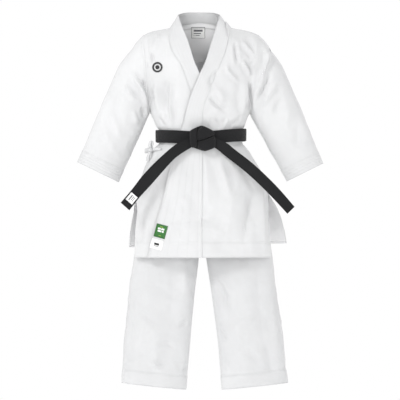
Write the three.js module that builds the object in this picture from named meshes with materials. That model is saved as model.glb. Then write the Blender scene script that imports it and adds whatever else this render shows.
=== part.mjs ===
// A karate uniform as it hangs on a dummy: a wrap-over jacket, drawstring trousers and a tied belt.
// Millimetres. +Z is up, the wearer faces -Y, and the wearer's left side is at +X.
// The origin is on top of the shoulders, in the middle of the neck, where a hanger or a wearer holds it.
import * as THREE from "three";

// Cloth and its layers
const cloth = 2; // one ply of canvas, with its seam allowances
const bandPly = 4; // the quilted collar band
const hemPly = 3; // turned and stitched hems
const beltPly = 3;
const gap = 0.8; // air between two layers that lie on each other
const cutGap = 1.2; // air between two pieces at a seam or a hinge line

// Jacket
const neckHalfWidth = 112;
const neckRise = 26; // the back neckline above the shoulder line
const shoulderRound = 72; // how far below the ridge the shoulder is still rounding over
const chestHalfWidth = 188;
const chestDepth = 108;
const waistHalfWidth = 150;
const waistDepth = 92;
const waistHeight = -402;
const armpitHeight = -313;
const slitTop = -600; // the side slits start here, and the skirts flap about this line
const slitHalfWidth = 242;
const jacketHem = -844;
const backHem = -812;
const frontHemHalfWidth = 262;
const frontHemDepth = 132;
const backHemHalfWidth = 307;
const backHemDepth = 150;
const hemHeight = 56;
const skirtShare = 0.942; // how far round the oval the skirts reach, as a share of its half width
const slitEase = 90; // and the length below the top of the slit in which they draw back to it
const frontSway = 8; // the skirts hang a little to the wearer's left
const backSway = 24;
const yokeLength = 150; // the lining inside the back, below the neckline
const yokeHalfWidth = 128;
const bandWidth = 58;
const collarRise = 40; // the standing collar above the back neckline
const collarLean = 14; // and how far its top leans in

// Sleeves
const sleeveSeam = 3; // from the side of the chest out to the pivot of each sleeve
const shoulderX = chestHalfWidth + sleeveSeam;
const shoulderZ = -110;
const sleeveAngle = 24.4; // from straight down, in degrees
const sleeveLength = 458; // from the pivot to the cuff
const sleeveHalfWidth = 87;
const cuffHalfWidth = 79;
const sleeveHalfDepth = 60;
const cuffHalfDepth = 50;
const capRadius = 92; // the shoulder cap that the sleeve turns round
const cuffHem = 48;

// Belt
const beltWidth = 45;
const knotHalfWidth = 47;
const knotHalfHeight = 48;
const knotDepth = 26;
const tailLength = 326;
const tailAngle = 46; // each tail from straight down, in degrees
const tailRootX = 64;
const tailRootZ = -436;
const tailSpread = 26; // how much further forward its tip is than its root
const beltLabel = 36;

// Trousers
const trouserWaistHalfWidth = 128;
const trouserWaistDepth = 70;
const waistbandTop = -374;
const waistbandHeight = 42;
const hipHalfWidth = 204;
const hipDepth = 80;
const hipX = 122; // the pivot of each leg
const hipZ = -588;
const hipRadius = 104; // the arc that each leg turns on
const crotchHeight = -722;
const legAngle = 5.9;
const legLength = 733; // from the pivot to the hem, along the leg
const legHalfWidth = 120;
const legHalfDepth = 56;
const legTopDepth = 64;
const legHem = 50;
const cordPly = 5; // the drawstring inside the waistband

// Small pieces
const labelPly = 1;
const patchPly = 1.6;
const tieWidth = 13;
const tiePly = 2;
const emblemRadius = 20;

const white = 0xf4f4f4;
const black = 0x242424;
const green = 0x3f8f3f;
const group = new THREE.Group();
const paint = {
  canvas: new THREE.MeshStandardMaterial({ color: white, roughness: 0.9 }),
  belt: new THREE.MeshStandardMaterial({ color: black, roughness: 0.85 }),
  patch: new THREE.MeshStandardMaterial({ color: green, roughness: 0.8 }),
  label: new THREE.MeshStandardMaterial({ color: 0xffffff, roughness: 0.7 }),
  emblem: new THREE.MeshStandardMaterial({ color: 0x101010, roughness: 0.7 }),
  elastic: new THREE.MeshStandardMaterial({ color: 0xe6e6e2, roughness: 0.95 }),
};

function add(name, geometry, material) {
  const mesh = new THREE.Mesh(geometry, material);
  mesh.name = name;
  group.add(mesh);
}

// ---- Helpers ----

const radians = (degrees) => (degrees * Math.PI) / 180;
const mix = (a, b, t) => a + (b - a) * t;
const clamp01 = (t) => Math.min(1, Math.max(0, t));

// A smooth curve through [position, value] pairs in rising order, with no overshoot between them.
function through(pairs) {
  const slopes = pairs.slice(1).map(([x, y], i) => (y - pairs[i][1]) / (x - pairs[i][0]));
  const tangents = pairs.map((_, i) => {
    if (i === 0) return slopes[0];
    if (i === pairs.length - 1) return slopes[i - 1];
    if (slopes[i - 1] * slopes[i] <= 0) return 0;
    return (2 * slopes[i - 1] * slopes[i]) / (slopes[i - 1] + slopes[i]);
  });
  return (x) => {
    if (x <= pairs[0][0]) return pairs[0][1];
    const last = pairs.length - 1;
    if (x >= pairs[last][0]) return pairs[last][1];
    const i = pairs.findIndex(([start]) => x < start) - 1;
    const span = pairs[i + 1][0] - pairs[i][0];
    const t = (x - pairs[i][0]) / span;
    const h = t * t * (3 - 2 * t);
    return (
      mix(pairs[i][1], pairs[i + 1][1], h) +
      span * (tangents[i] * t * (1 - t) ** 2 - tangents[i + 1] * t * t * (1 - t))
    );
  };
}

// A closed solid: a sheet of the given thickness whose middle is surface(u, v), raised off it by lift(point).
// A ring joins u = 1 to u = 0. The outside is the side away from the middle of the wearer, or of a tube's own row.
function sheetSolid(surface, columns, rows, thickness, { ring = false, tube = false, lift = () => 0 } = {}) {
  const across = ring ? columns : columns + 1;
  const middle = [];
  for (let j = 0; j <= rows; j++)
    for (let i = 0; i < across; i++) middle.push(surface(i / columns, j / rows));
  const at = (i, j) => middle[j * across + (ring ? (i + across) % across : i)];
  const normals = [];
  let outwards = 0;
  for (let j = 0; j <= rows; j++) {
    const row = middle.slice(j * across, (j + 1) * across);
    const centre = point(0, 0, 0);
    if (tube) row.forEach((p) => centre.addScaledVector(p, 1 / across));
    for (let i = 0; i < across; i++) {
      const along = at(ring ? i + 1 : Math.min(i + 1, columns), j)
        .clone()
        .sub(at(ring ? i - 1 : Math.max(i - 1, 0), j));
      const down = at(i, Math.min(j + 1, rows)).clone().sub(at(i, Math.max(j - 1, 0)));
      const normal = along.cross(down).normalize();
      const out = at(i, j).clone().sub(centre);
      outwards += normal.x * out.x + normal.y * out.y + normal.z * (tube ? out.z : 100);
      normals.push(normal);
    }
  }
  const points = [];
  for (const side of [0.5, -0.5])
    middle.forEach((p, n) => {
      const off = side * thickness + lift(p);
      points.push(p.clone().addScaledVector(normals[n], outwards < 0 ? -off : off));
    });
  const half = middle.length;
  const faces = [];
  const quad = (a, b, c, d) => faces.push(a, b, c, a, c, d);
  for (let j = 0; j < rows; j++)
    for (let i = 0; i < columns; i++) {
      const a = j * across + i;
      const b = j * across + ((i + 1) % across);
      quad(a, b, b + across, a + across);
      quad(half + a, half + a + across, half + b + across, half + b);
    }
  for (let i = 0; i < columns; i++) {
    const a = i;
    const b = (i + 1) % across;
    const last = rows * across;
    quad(a, half + a, half + b, b);
    quad(last + a, last + b, half + last + b, half + last + a);
  }
  if (!ring)
    for (let j = 0; j < rows; j++) {
      const a = j * across;
      const b = a + columns;
      quad(a, a + across, half + a + across, half + a);
      quad(b, half + b, half + b + across, b + across);
    }
  return facingOut(points, faces);
}

// A geometry from points and triangles, with the triangles turned round if they face inwards.
function facingOut(points, faces) {
  let volume = 0;
  for (let i = 0; i < faces.length; i += 3) {
    const [a, b, c] = [0, 1, 2].map((k) => points[faces[i + k]]);
    volume += a.dot(b.clone().cross(c));
  }
  if (volume < 0)
    for (let i = 0; i < faces.length; i += 3)
      [faces[i + 1], faces[i + 2]] = [faces[i + 2], faces[i + 1]];
  const geometry = new THREE.BufferGeometry().setFromPoints(points);
  geometry.setIndex(faces);
  return geometry;
}

// The same solid on the wearer's other side.
function mirrored(geometry) {
  const copy = geometry.clone().scale(-1, 1, 1);
  const faces = copy.index.array;
  for (let i = 0; i < faces.length; i += 3) [faces[i + 1], faces[i + 2]] = [faces[i + 2], faces[i + 1]];
  return copy;
}
function addPair(name, geometry, material) {
  add(`left_${name}`, geometry, material);
  add(`right_${name}`, mirrored(geometry), material);
}

// A strip of the given width and thickness along a curve, with its width in one direction.
function strip(curve, across, width, thickness, steps) {
  const surface = (u, v) => curve.getPoint(v).addScaledVector(across, (u - 0.5) * width);
  return sheetSolid(surface, 1, steps, thickness);
}

const point = (x, y, z) => new THREE.Vector3(x, y, z);
const curveThrough = (...points) => new THREE.CatmullRomCurve3(points.map((p) => point(...p)));

// ---- The shape that the jacket hangs in ----

const beltHalf = beltWidth / 2 + 14; // the jacket is straight this far above and below the middle of the belt
const bodySides = [
  [slitTop, slitHalfWidth],
  [waistHeight - 120, waistHalfWidth + 64],
  [waistHeight - 77, waistHalfWidth + 43],
  [waistHeight - beltHalf - 16, waistHalfWidth + 15],
  [waistHeight - beltHalf, waistHalfWidth],
  [waistHeight + beltHalf, waistHalfWidth],
  [waistHeight + beltHalf + 16, waistHalfWidth + 11],
  [armpitHeight, chestHalfWidth - 4],
  [shoulderZ, chestHalfWidth],
];
const halfWidth = {
  front: through([[jacketHem, frontHemHalfWidth], ...bodySides]),
  back: through([[backHem, backHemHalfWidth], ...bodySides]),
};
const bodyDepths = (hem, hemDepth, flare) =>
  through([
    [hem, hemDepth],
    [slitTop, mix(waistDepth, hemDepth, flare)],
    [waistHeight - beltHalf, waistDepth],
    [waistHeight + beltHalf, waistDepth],
    [armpitHeight, chestDepth - 2],
    [-200, chestDepth],
    [neckRise, chestDepth * 0.8],
  ]);
const depth = {
  front: bodyDepths(jacketHem, frontHemDepth, 0.7),
  back: bodyDepths(backHem, backHemDepth, 0.6),
};
const swayOf = {
  front: through([[slitTop, frontSway], [waistHeight - 60, 0]]),
  back: through([[backHem, backSway], [slitTop, frontSway], [waistHeight - 60, 0]]),
};
const roundness = 2.3; // of the oval: 2 is an ellipse
const oval = (share) => Math.max(0, 1 - Math.abs(share) ** roundness) ** (1 / roundness);

const sleeveDown = [Math.sin(radians(sleeveAngle)), Math.cos(radians(sleeveAngle))];
// A place in the front view, measured from the sleeve's pivot: along the sleeve, and across it to the outside.
function onSleeve(x, z) {
  const dx = Math.abs(x) - shoulderX;
  const dz = z - shoulderZ;
  return {
    along: dx * sleeveDown[0] - dz * sleeveDown[1],
    out: dx * sleeveDown[1] + dz * sleeveDown[0],
    away: Math.hypot(dx, dz),
    angle: (Math.atan2(dz, dx) * 180) / Math.PI,
  };
}
const offSleeve = (along, out) => [
  shoulderX + along * sleeveDown[0] + out * sleeveDown[1],
  shoulderZ - along * sleeveDown[1] + out * sleeveDown[0],
];
const sleeveOuter = through([[0, 73], [29, 81], [81, sleeveHalfWidth + 1], [sleeveLength, cuffHalfWidth]]);
const sleeveInner = through([[0, -sleeveHalfWidth], [sleeveLength, -cuffHalfWidth]]);
const sleeveDepthAt = through([[0, sleeveHalfDepth], [sleeveLength, cuffHalfDepth]]);
// The outline of the shoulder's cap round the pivot, by angle. Below -3 degrees it is where the sleeve turns.
const capOutline = through([
  [-180, sleeveHalfWidth],
  [-120, capRadius],
  [-3, capRadius],
  [5, 86],
  [24, 73],
  [43, 74],
  [65, 80.5],
  [94, 95],
  [180, 95],
]);

function armDepth(x, z) {
  const { along, out, away, angle } = onSleeve(x, z);
  const outer = sleeveOuter(along);
  const inner = sleeveInner(along);
  const share = along < 0 ? away / capOutline(angle) : (2 * out - outer - inner) / (outer - inner);
  return sleeveDepthAt(along) * Math.sqrt(Math.max(0, 1 - share * share));
}

// The ridge where the front and the back meet over the shoulder. Inside the neck it climbs out of the way.
const shoulderLine = through([
  [neckHalfWidth, 0],
  [shoulderX - 6, -15],
  [shoulderX + 34, -37],
  [shoulderX + 66, -81],
]);
const ridge = (x) => {
  const inside = neckHalfWidth - Math.abs(x);
  return inside > 0 ? inside * 1.25 : shoulderLine(Math.abs(x));
};

// How far the cloth lies from the middle plane, at a place in the front view.
function bodyDepth(side, x, z) {
  const below = clamp01((ridge(x) - z) / shoulderRound);
  const shoulder = Math.sqrt(1 - (1 - below) ** 2);
  const trunk = depth[side](z) * oval(x / halfWidth[side](z)) * shoulder;
  return (trunk ** 4 + armDepth(x, z) ** 4) ** 0.25;
}

function jacketPoint(side, x, z) {
  const y = bodyDepth(side, x, z) + cutGap / 2;
  return point(x + swayOf[side](z), side === "front" ? -y : y, z);
}

// The side of the jacket above the slits, from the top of the shoulder (t = 0) down to the bottom (t = 1).
const capShare = 0.42;
function jacketSide(t, bottom) {
  if (t < capShare) {
    const angle = mix(80, -90, t / capShare);
    const reach = capOutline(angle) - cutGap * clamp01(-angle / 3);
    return [shoulderX + reach * Math.cos(radians(angle)), shoulderZ + reach * Math.sin(radians(angle))];
  }
  const z = mix(shoulderZ - capRadius + cutGap, bottom, (t - capShare) / (1 - capShare));
  const seam = halfWidth.front(z) - 0.2;
  return [mix(seam, shoulderX - cutGap, clamp01((z - armpitHeight) / 90)), z];
}

// The free edge of the collar band, from the collar down to the hem, and the seam behind it.
const frontEdge = through([
  [jacketHem, -198],
  [-720, -166],
  [-610, -138],
  [-504, -107],
  [-431, -82],
  [-365, -62],
  [-286, -38],
  [-217, -17],
  [-171, 0],
  [-125, 21],
  [-80, 35],
  [-48, 45],
  [0, 60],
  [22, 68],
  [50, 72],
]);
// Below the chest that seam runs straight down the middle, so that the band widens over the skirt.
const centreSeam = 5;
const bandSeam = through([
  [jacketHem, centreSeam],
  [waistHeight + 72, centreSeam],
  [waistHeight + 110, centreSeam + 4],
  [-217, -17 + bandWidth * 1.02],
  [-171, bandWidth * 1.1],
  [-135, bandWidth * 1.1 + 16],
  [-100, 106],
  [-48, neckHalfWidth + 12],
  [-14, neckHalfWidth + 7],
  [2, neckHalfWidth + 1],
]);
const bandRise = through([[-171, 0], [-135, 7], [-100, 20], [-48, 32], [-14, 44], [2, 48]]);
const edgeDepth = through([
  [-171, chestDepth],
  [-128, chestDepth - 4],
  [-80, chestDepth - 14],
  [-16, chestDepth - 42],
  [30, 34],
  [50, 1],
]);

// The wearer's left front lies over the right one as far as the right one's free edge.
const overlap = cloth / 2 + bandPly + gap - 0.2 + cloth / 2;
const leftLift = (p) => overlap * (1 - clamp01((p.x + frontEdge(p.z) - 6) / 40));
const frontOf = {
  left: { sign: 1, lift: leftLift },
  right: { sign: -1, lift: () => 0 },
};

// ---- The jacket above the slits ----

const upperBottom = slitTop + cutGap / 2;
const topLine = (x) => {
  const side = Math.abs(x) / neckHalfWidth;
  return side < 1 ? neckRise * (1 - side * side) : shoulderLine(Math.abs(x));
};

// The front meets the back along the shoulder and round the outside of its cap.
const capClosed = (capShare * 80) / 170;
function closeEdge(p, u, v) {
  if (v === 0 || (u === 1 && v < capClosed)) p.y = Math.sign(p.y) * cutGap;
  return p;
}

// u runs from the front edge to the side, v from the shoulder to the bottom.
const upperFront = (sign) => (u, v) => {
  const [sideX, sideZ] = jacketSide(v, upperBottom);
  const edgeZ = mix(0, upperBottom, v);
  const share = Math.sin((u * Math.PI) / 2);
  const clear = cutGap + 4 * clamp01(1 + edgeZ / 60); // the seam turns over the shoulder at the top
  const x = mix(bandSeam(edgeZ) + clear, sideX, share);
  const z = Math.min(mix(edgeZ, sideZ, share), ridge(x) - 12 * v);
  return closeEdge(jacketPoint("front", sign * x, z), u, v);
};
const upperBack = (sign) => (u, v) => {
  const [sideX, sideZ] = jacketSide(v, upperBottom);
  const share = Math.sin((u * Math.PI) / 2);
  const x = mix(cutGap / 2, sideX, share);
  const z = Math.min(mix(mix(neckRise, upperBottom, v), sideZ, share), topLine(x) - 12 * v);
  return x < neckHalfWidth - 2 ? jacketPoint("back", sign * x, z) : closeEdge(jacketPoint("back", sign * x, z), u, v);
};

// The collar band over one front: u runs from the seam to the free edge, v down from the shoulder.
const bandFront = (sign, top, bottom) => (u, v) => {
  const seamZ = mix(top, bottom, v);
  const seam = jacketPoint("front", bandSeam(seamZ), seamZ);
  const edgeZ = seamZ + bandRise(seamZ);
  const edgeX = frontEdge(edgeZ);
  const x = mix(seam.x, edgeX + swayOf.front(edgeZ), u);
  const flat = jacketPoint("front", mix(bandSeam(seamZ), edgeX, u), mix(seamZ, edgeZ, u)).y;
  const raised = mix(seam.y, -edgeDepth(edgeZ), u);
  const y = mix(flat, raised, clamp01((seamZ + 190) / 40));
  return point(sign > 0 ? x : 2 * swayOf.front(seamZ) - x, y, mix(seamZ, edgeZ, u));
};

for (const [which, { sign, lift }] of Object.entries(frontOf)) {
  add(`${which}_front_panel`, sheetSolid(upperFront(sign), 10, 19, cloth, { lift }), paint.canvas);
  add(`${which}_back_panel`, sheetSolid(upperBack(sign), 10, 19, cloth), paint.canvas);
  add(`${which}_lapel`, sheetSolid(bandFront(sign, 2, upperBottom), 3, 19, bandPly, { lift }), paint.canvas);
}

// The collar stands behind the neck, from one shoulder to the other.
const collarHalfAngle = 86;
const collar = (u, v) => {
  const angle = radians(mix(-collarHalfAngle, collarHalfAngle, u));
  const lean = collarLean * v;
  const x = (neckHalfWidth - 40 * v + 4) * Math.sin(angle);
  const seamDepth = bodyDepth("back", 0, neckRise) + cloth;
  const y = (seamDepth - lean) * Math.max(0, Math.cos(angle)) ** 0.8 + bandPly;
  const seamZ = topLine(x) + bandPly;
  return point(x, y, mix(seamZ, neckRise + collarRise - 8 * Math.sin(angle) ** 4, v));
};
add("back_collar", sheetSolid(collar, 18, 2, bandPly), paint.canvas);

// The lining inside the back, and the size label on the collar above it.
const yoke = (u, v) => {
  const x = mix(-yokeHalfWidth, yokeHalfWidth, u);
  return jacketPoint("back", x, mix(topLine(x) - 24, neckRise - yokeLength, v));
};
const inside = -(cloth + 3 * gap);
add("back_yoke_lining", sheetSolid(yoke, 10, 6, cloth, { lift: () => inside }), paint.canvas);

// ---- The skirts of the jacket ----

const skirtTop = slitTop - cutGap / 2;
const hemLine = (bottom) => bottom + hemHeight;
const skirtReach = (z) => mix(0.985, skirtShare, clamp01((slitTop - z) / slitEase));
const skirtPart = (side, sign, from, top, bottom) => (u, v) => {
  const z = mix(top, bottom, v);
  const start = from(z);
  const end = halfWidth[side](z) * skirtReach(z);
  return jacketPoint(side, sign * mix(start, end, Math.sin((u * Math.PI) / 2)), z);
};
const frontSkirt = (sign, top, bottom) =>
  skirtPart("front", sign, (z) => bandSeam(z) + cutGap, top, bottom);
const backSkirt = (top, bottom) => (u, v) => {
  const z = mix(top, bottom, v);
  const x = halfWidth.back(z) * skirtReach(z) * Math.sin((u - 0.5) * Math.PI);
  return jacketPoint("back", x, z);
};
for (const [which, { sign, lift }] of Object.entries(frontOf)) {
  const hem = hemLine(jacketHem);
  const cut = hem - cutGap;
  add(`${which}_front_skirt`, sheetSolid(frontSkirt(sign, skirtTop, hem), 10, 5, cloth, { lift }), paint.canvas);
  add(`${which}_front_hem`, sheetSolid(frontSkirt(sign, cut, jacketHem), 10, 2, hemPly, { lift }), paint.canvas);
  add(`${which}_skirt_band`, sheetSolid(bandFront(sign, skirtTop, jacketHem), 3, 7, bandPly, { lift }), paint.canvas);
}
add("back_skirt", sheetSolid(backSkirt(skirtTop, hemLine(backHem)), 20, 5, cloth), paint.canvas);
add("back_hem", sheetSolid(backSkirt(hemLine(backHem) - cutGap, backHem), 20, 2, hemPly), paint.canvas);

// ---- Sleeves ----

// Where the sleeve begins: on the arc of the cap, or on the seam below it.
function sleeveStart(out) {
  const arc = Math.sqrt(Math.max(0, (capRadius + cutGap) ** 2 - out * out));
  const seam = (cutGap - out * sleeveDown[1]) / sleeveDown[0];
  return Math.max(arc, seam);
}
const sleevePart = (from, to) => (u, v) => {
  const angle = 2 * Math.PI * u;
  const across = (along) => mix(sleeveInner(along), sleeveOuter(along), (1 + Math.cos(angle)) / 2);
  let start = from;
  if (from === 0) for (let i = 0; i < 6; i++) start = sleeveStart(across(start || capRadius));
  const along = mix(start, to, v);
  const [x, z] = offSleeve(along, across(along));
  return point(x, (sleeveDepthAt(along) + cutGap / 2) * Math.sin(angle), z);
};
const cuffTop = sleeveLength - cuffHem;
addPair("sleeve", sheetSolid(sleevePart(0, cuffTop), 24, 5, cloth, { ring: true, tube: true }), paint.canvas);
const cuff = sleevePart(cuffTop + cutGap, sleeveLength);
addPair("cuff", sheetSolid(cuff, 24, 2, hemPly, { ring: true, tube: true }), paint.canvas);

// ---- Belt ----

const beltBase = cloth / 2 + overlap + bandPly / 2 + gap; // the outside of the band at the front
function beltTurn(number) {
  const grow = number * (beltPly + gap) + beltPly / 2;
  return (u, v) => {
    const angle = 2 * Math.PI * u;
    const side = waistHalfWidth + cloth / 2 + 6 * gap + grow;
    const front = waistDepth + beltBase + 1.5 + grow;
    const back = waistDepth + cloth / 2 + 5 * gap + grow;
    const power = 2 / roundness;
    const x = side * Math.sign(Math.cos(angle)) * Math.abs(Math.cos(angle)) ** power;
    const y = Math.sign(Math.sin(angle)) * Math.abs(Math.sin(angle)) ** power;
    return point(x, y * (y < 0 ? front : back), waistHeight + (0.5 - v) * beltWidth);
  };
}
add("belt_inner_turn", sheetSolid(beltTurn(0), 40, 1, beltPly, { ring: true }), paint.belt);
add("belt_outer_turn", sheetSolid(beltTurn(1), 40, 1, beltPly, { ring: true }), paint.belt);

const knotBack = -(waistDepth + beltBase + 1 + 2 * (beltPly + gap));
const knotCorners = [
  [0, 1.04],
  [0.98, 0.34],
  [1, -0.36],
  [0.12, -1],
  [-1, -0.34],
  [-0.98, 0.36],
];
function prism(corners, width, height, deep, bevel) {
  const shape = new THREE.Shape(corners.map(([x, z]) => new THREE.Vector2(x * width, z * height)));
  const geometry = new THREE.ExtrudeGeometry(shape, {
    depth: deep - 2 * bevel,
    bevelThickness: bevel,
    bevelSize: bevel,
    bevelOffset: -bevel,
    bevelSegments: 2,
  });
  return geometry.rotateX(Math.PI / 2);
}
const knot = prism(knotCorners, knotHalfWidth, knotHalfHeight, knotDepth, 6);
add("belt_knot", knot.translate(0, knotBack - 6, waistHeight - 6), paint.belt);
const knotFront = knotBack - knotDepth;
const wrapCurve = curveThrough(
  [-knotHalfWidth * 0.8, knotFront - beltPly, waistHeight - 14],
  [0, knotFront - beltPly - 3, waistHeight],
  [knotHalfWidth * 0.8, knotFront - beltPly, waistHeight + 12],
);
const wrapAcross = point(-0.35, 0, 1).normalize();
add("belt_knot_wrap", strip(wrapCurve, wrapAcross, beltWidth * 0.8, beltPly, 8), paint.belt);

// Each tail leaves the knot's lower corner and stands clear of the skirt.
for (const { name, sign } of [{ name: "left", sign: 1 }, { name: "right", sign: -1 }]) {
  const way = point(sign * Math.sin(radians(tailAngle)), 0, -Math.cos(radians(tailAngle)));
  const across = point(Math.cos(radians(tailAngle)), 0, sign * Math.sin(radians(tailAngle)));
  const root = point(sign * tailRootX, knotBack - 8, tailRootZ);
  const tip = root.clone().addScaledVector(way, tailLength).add(point(0, -tailSpread, 0));
  const curve = new THREE.LineCurve3(root, tip);
  add(`${name}_belt_tail`, strip(curve, across, beltWidth, beltPly, 8), paint.belt);
  if (name === "right") {
    const lift = point(0, -(beltPly + labelPly) / 2 - gap, 0);
    const start = curve.getPoint(1 - (20 + beltLabel) / tailLength).add(lift);
    const end = curve.getPoint(1 - 20 / tailLength).add(lift);
    add("belt_label", strip(new THREE.LineCurve3(start, end), across, beltLabel, labelPly, 1), paint.label);
  }
}

// ---- Labels, badge and patch ----

// A small flat piece that follows the front of the jacket, tilted in its own plane.
const frontPatch = (centreX, centreZ, width, height, tilt) => (u, v) => {
  const a = (u - 0.5) * width;
  const b = (0.5 - v) * height;
  const c = Math.cos(radians(tilt));
  const s = Math.sin(radians(tilt));
  return jacketPoint("front", centreX + a * c - b * s, centreZ + a * s + b * c);
};
const onBand = () => overlap + bandPly / 2 + gap / 2 + patchPly / 2;
const patch = frontPatch(-158, -750, 41, 49, -15);
add("hem_patch", sheetSolid(patch, 2, 2, patchPly, { lift: onBand }), paint.patch);
const hemLabel = frontPatch(-174, -798, 41, 30, -15);
add("hem_label", sheetSolid(hemLabel, 2, 2, labelPly, { lift: onBand }), paint.label);

const emblem = (u, v) => {
  const angle = 2 * Math.PI * u;
  const radius = mix(emblemRadius, emblemRadius * 0.55, v);
  return jacketPoint("front", -150 + radius * Math.cos(angle), -147 + radius * Math.sin(angle));
};
const onPanel = () => cloth / 2 + 2 * gap + patchPly / 2;
add("chest_emblem", sheetSolid(emblem, 16, 1, patchPly, { ring: true, lift: onPanel }), paint.emblem);

const neckLabel = (u, v) => {
  const x = (u - 0.5) * 50;
  return jacketPoint("back", x, mix(neckRise - 14, neckRise - 52, v));
};
const onLining = () => inside - cloth / 2 - gap - labelPly / 2;
add("neck_label", sheetSolid(neckLabel, 2, 2, labelPly, { lift: onLining }), paint.label);

// How far back a solid reaches where the plane at x cuts it.
function deepestAt(geometry, x) {
  const at = geometry.attributes.position;
  const corner = (i) => point(0, 0, 0).fromBufferAttribute(at, geometry.index ? geometry.index.getX(i) : i);
  const count = geometry.index ? geometry.index.count : at.count;
  let deepest = -Infinity;
  for (let i = 0; i < count; i += 1) {
    const [a, b] = [corner(i), corner(i % 3 === 2 ? i - 2 : i + 1)];
    if ((a.x - x) * (b.x - x) > 0 || a.x === b.x) continue;
    deepest = Math.max(deepest, mix(a.y, b.y, (x - a.x) / (b.x - a.x)));
  }
  return deepest;
}

// ---- Side tie, in a bow at the wearer's right, and the inner tie at the left ----

const bowX = -(waistHalfWidth + 34);
const bowZ = waistHeight - 46;
const bowY = -26;
const tieAcross = point(0, 1, 0);
add("side_tie_knot", new THREE.BoxGeometry(8, 18, 14).translate(bowX, bowY, bowZ), paint.canvas);
const bowLoops = {
  side_tie_loop_upper: [[-6, 7], [-20, 20], [-12, 30], [0, 10]],
  side_tie_loop_lower: [[-6, -3], [-26, -6], [-24, -16], [-6, -8]],
  side_tie_end_front: [[-1, -8], [-8, -26], [-16, -42]],
};
for (const [name, places] of Object.entries(bowLoops)) {
  const curve = curveThrough(...places.map(([x, z]) => [bowX + x, bowY, bowZ + z]));
  add(name, strip(curve, tieAcross, tieWidth, tiePly, 10), paint.canvas);
}

// The inner tie holds the edge of the right front inside the left one.
const underEdge = -frontEdge(waistHeight + 18) + 5;
const innerTie = (u, v) => {
  const z = waistHeight + 18 + (0.5 - v) * tieWidth;
  return jacketPoint("front", mix(underEdge, waistHalfWidth - 12, u), z);
};
const strap = sheetSolid(innerTie, 8, 1, tiePly, { lift: () => inside });
add("inner_tie_strap", strap, paint.canvas);
// Its knot lies on the inner face of the strap, clear of it at the edge where the strap turns in most.
const tieAir = 0.1; // between the inner tie and its knot
const tieKnot = { width: 16, depth: 8, height: 14 };
const innerBowX = waistHalfWidth - 38;
const innerBowY = deepestAt(strap, innerBowX + tieKnot.width / 2) + tieAir + tieKnot.depth / 2;
const innerKnot = new THREE.BoxGeometry(tieKnot.width, tieKnot.depth, tieKnot.height);
innerKnot.translate(innerBowX, innerBowY, waistHeight + 18);
add("inner_tie_knot", innerKnot, paint.canvas);

// ---- Trousers ----

const legDown = [Math.sin(radians(legAngle)), Math.cos(radians(legAngle))];
const offLeg = (along, out) => [
  hipX + along * legDown[0] + out * legDown[1],
  hipZ - along * legDown[1] + out * legDown[0],
];
const legOuter = through([[27, 92], [60, 98], [100, 103], [146, 107], [254, 108], [legLength, legHalfWidth]]);
const legInner = through([
  [40, -96],
  [80, -114],
  [121, -127],
  [254, -133],
  [legLength, -legHalfWidth + 2],
]);
const legDepthAt = through([[60, legTopDepth], [300, legHalfDepth], [legLength, legHalfDepth]]);

function legStart(out) {
  if (out < -96) return 40 + ((-96 - out) / 31) * 81 + cutGap;
  return Math.sqrt(Math.max(42 ** 2, (hipRadius + cutGap) ** 2 - out * out));
}
const legPart = (from, to) => (u, v) => {
  const angle = 2 * Math.PI * u;
  const across = (along) => mix(legInner(along), legOuter(along), (1 + Math.cos(angle)) / 2);
  let start = from;
  if (from === 0) {
    start = 90;
    for (let i = 0; i < 12; i++) start = mix(start, legStart(across(start)), 0.6);
  }
  const along = mix(start, to, v);
  const [x, z] = offLeg(along, across(along));
  return point(x, legDepthAt(along) * Math.sin(angle), z);
};
const legHemTop = legLength - legHem;
addPair("leg", sheetSolid(legPart(0, legHemTop), 28, 6, cloth, { ring: true, tube: true }), paint.canvas);
const legEnd = legPart(legHemTop + cutGap, legLength);
addPair("leg_hem", sheetSolid(legEnd, 28, 1, hemPly, { ring: true, tube: true }), paint.canvas);

const seatHalfWidth = through([
  [hipZ - 40, hipHalfWidth + 12],
  [hipZ, hipHalfWidth],
  [hipZ + 40, hipHalfWidth - 10],
  [hipZ + 108, trouserWaistHalfWidth + 37],
  [waistbandTop - waistbandHeight, trouserWaistHalfWidth + 6],
  [waistbandTop, trouserWaistHalfWidth],
]);
const seatDepth = through([
  [hipZ - 20, hipDepth],
  [waistbandTop - waistbandHeight, trouserWaistDepth + 3],
  [waistbandTop, trouserWaistDepth],
]);
function seatY(x, z) {
  const trunk = seatDepth(z) * oval(x / seatHalfWidth(z));
  const dx = Math.abs(x) - hipX;
  const along = dx * legDown[0] - (z - hipZ) * legDown[1];
  const out = dx * legDown[1] + (z - hipZ) * legDown[0];
  const inner = legInner(along);
  const outer = legOuter(along);
  const share = (2 * out - outer - inner) / (outer - inner);
  const leg = legDepthAt(along) * Math.sqrt(Math.max(0, 1 - share * share));
  return mix(trunk, leg, clamp01((hipZ + 10 - z) / 110)) + cutGap;
}
// The lower edge of one half of the seat: level by the crotch, then round the arc of the leg.
const gussetTop = hipZ - 42;
function seatBottom(x) {
  const dx = x - hipX;
  const arc = Math.sqrt(Math.max(0, (hipRadius - cutGap) ** 2 - dx * dx));
  return hipZ - Math.max(arc, dx > 0 ? 8 : 42);
}
const seatTop = waistbandTop - waistbandHeight;
const seatPart = (side) => (u, v) => {
  const share = Math.sin((u * Math.PI) / 2);
  const reach = hipX + hipRadius - cutGap - 3;
  const z = mix(seatTop - cutGap, seatBottom(mix(cutGap / 2, reach, share)), v);
  const x = Math.max(cutGap / 2, Math.min(seatHalfWidth(z), mix(seatHalfWidth(z), reach, v)) * share);
  return point(x, (side === "front" ? -1 : 1) * seatY(x, z), z);
};
for (const side of ["front", "back"])
  addPair(`${side}_seat`, sheetSolid(seatPart(side), 12, 8, cloth), paint.canvas);

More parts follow.
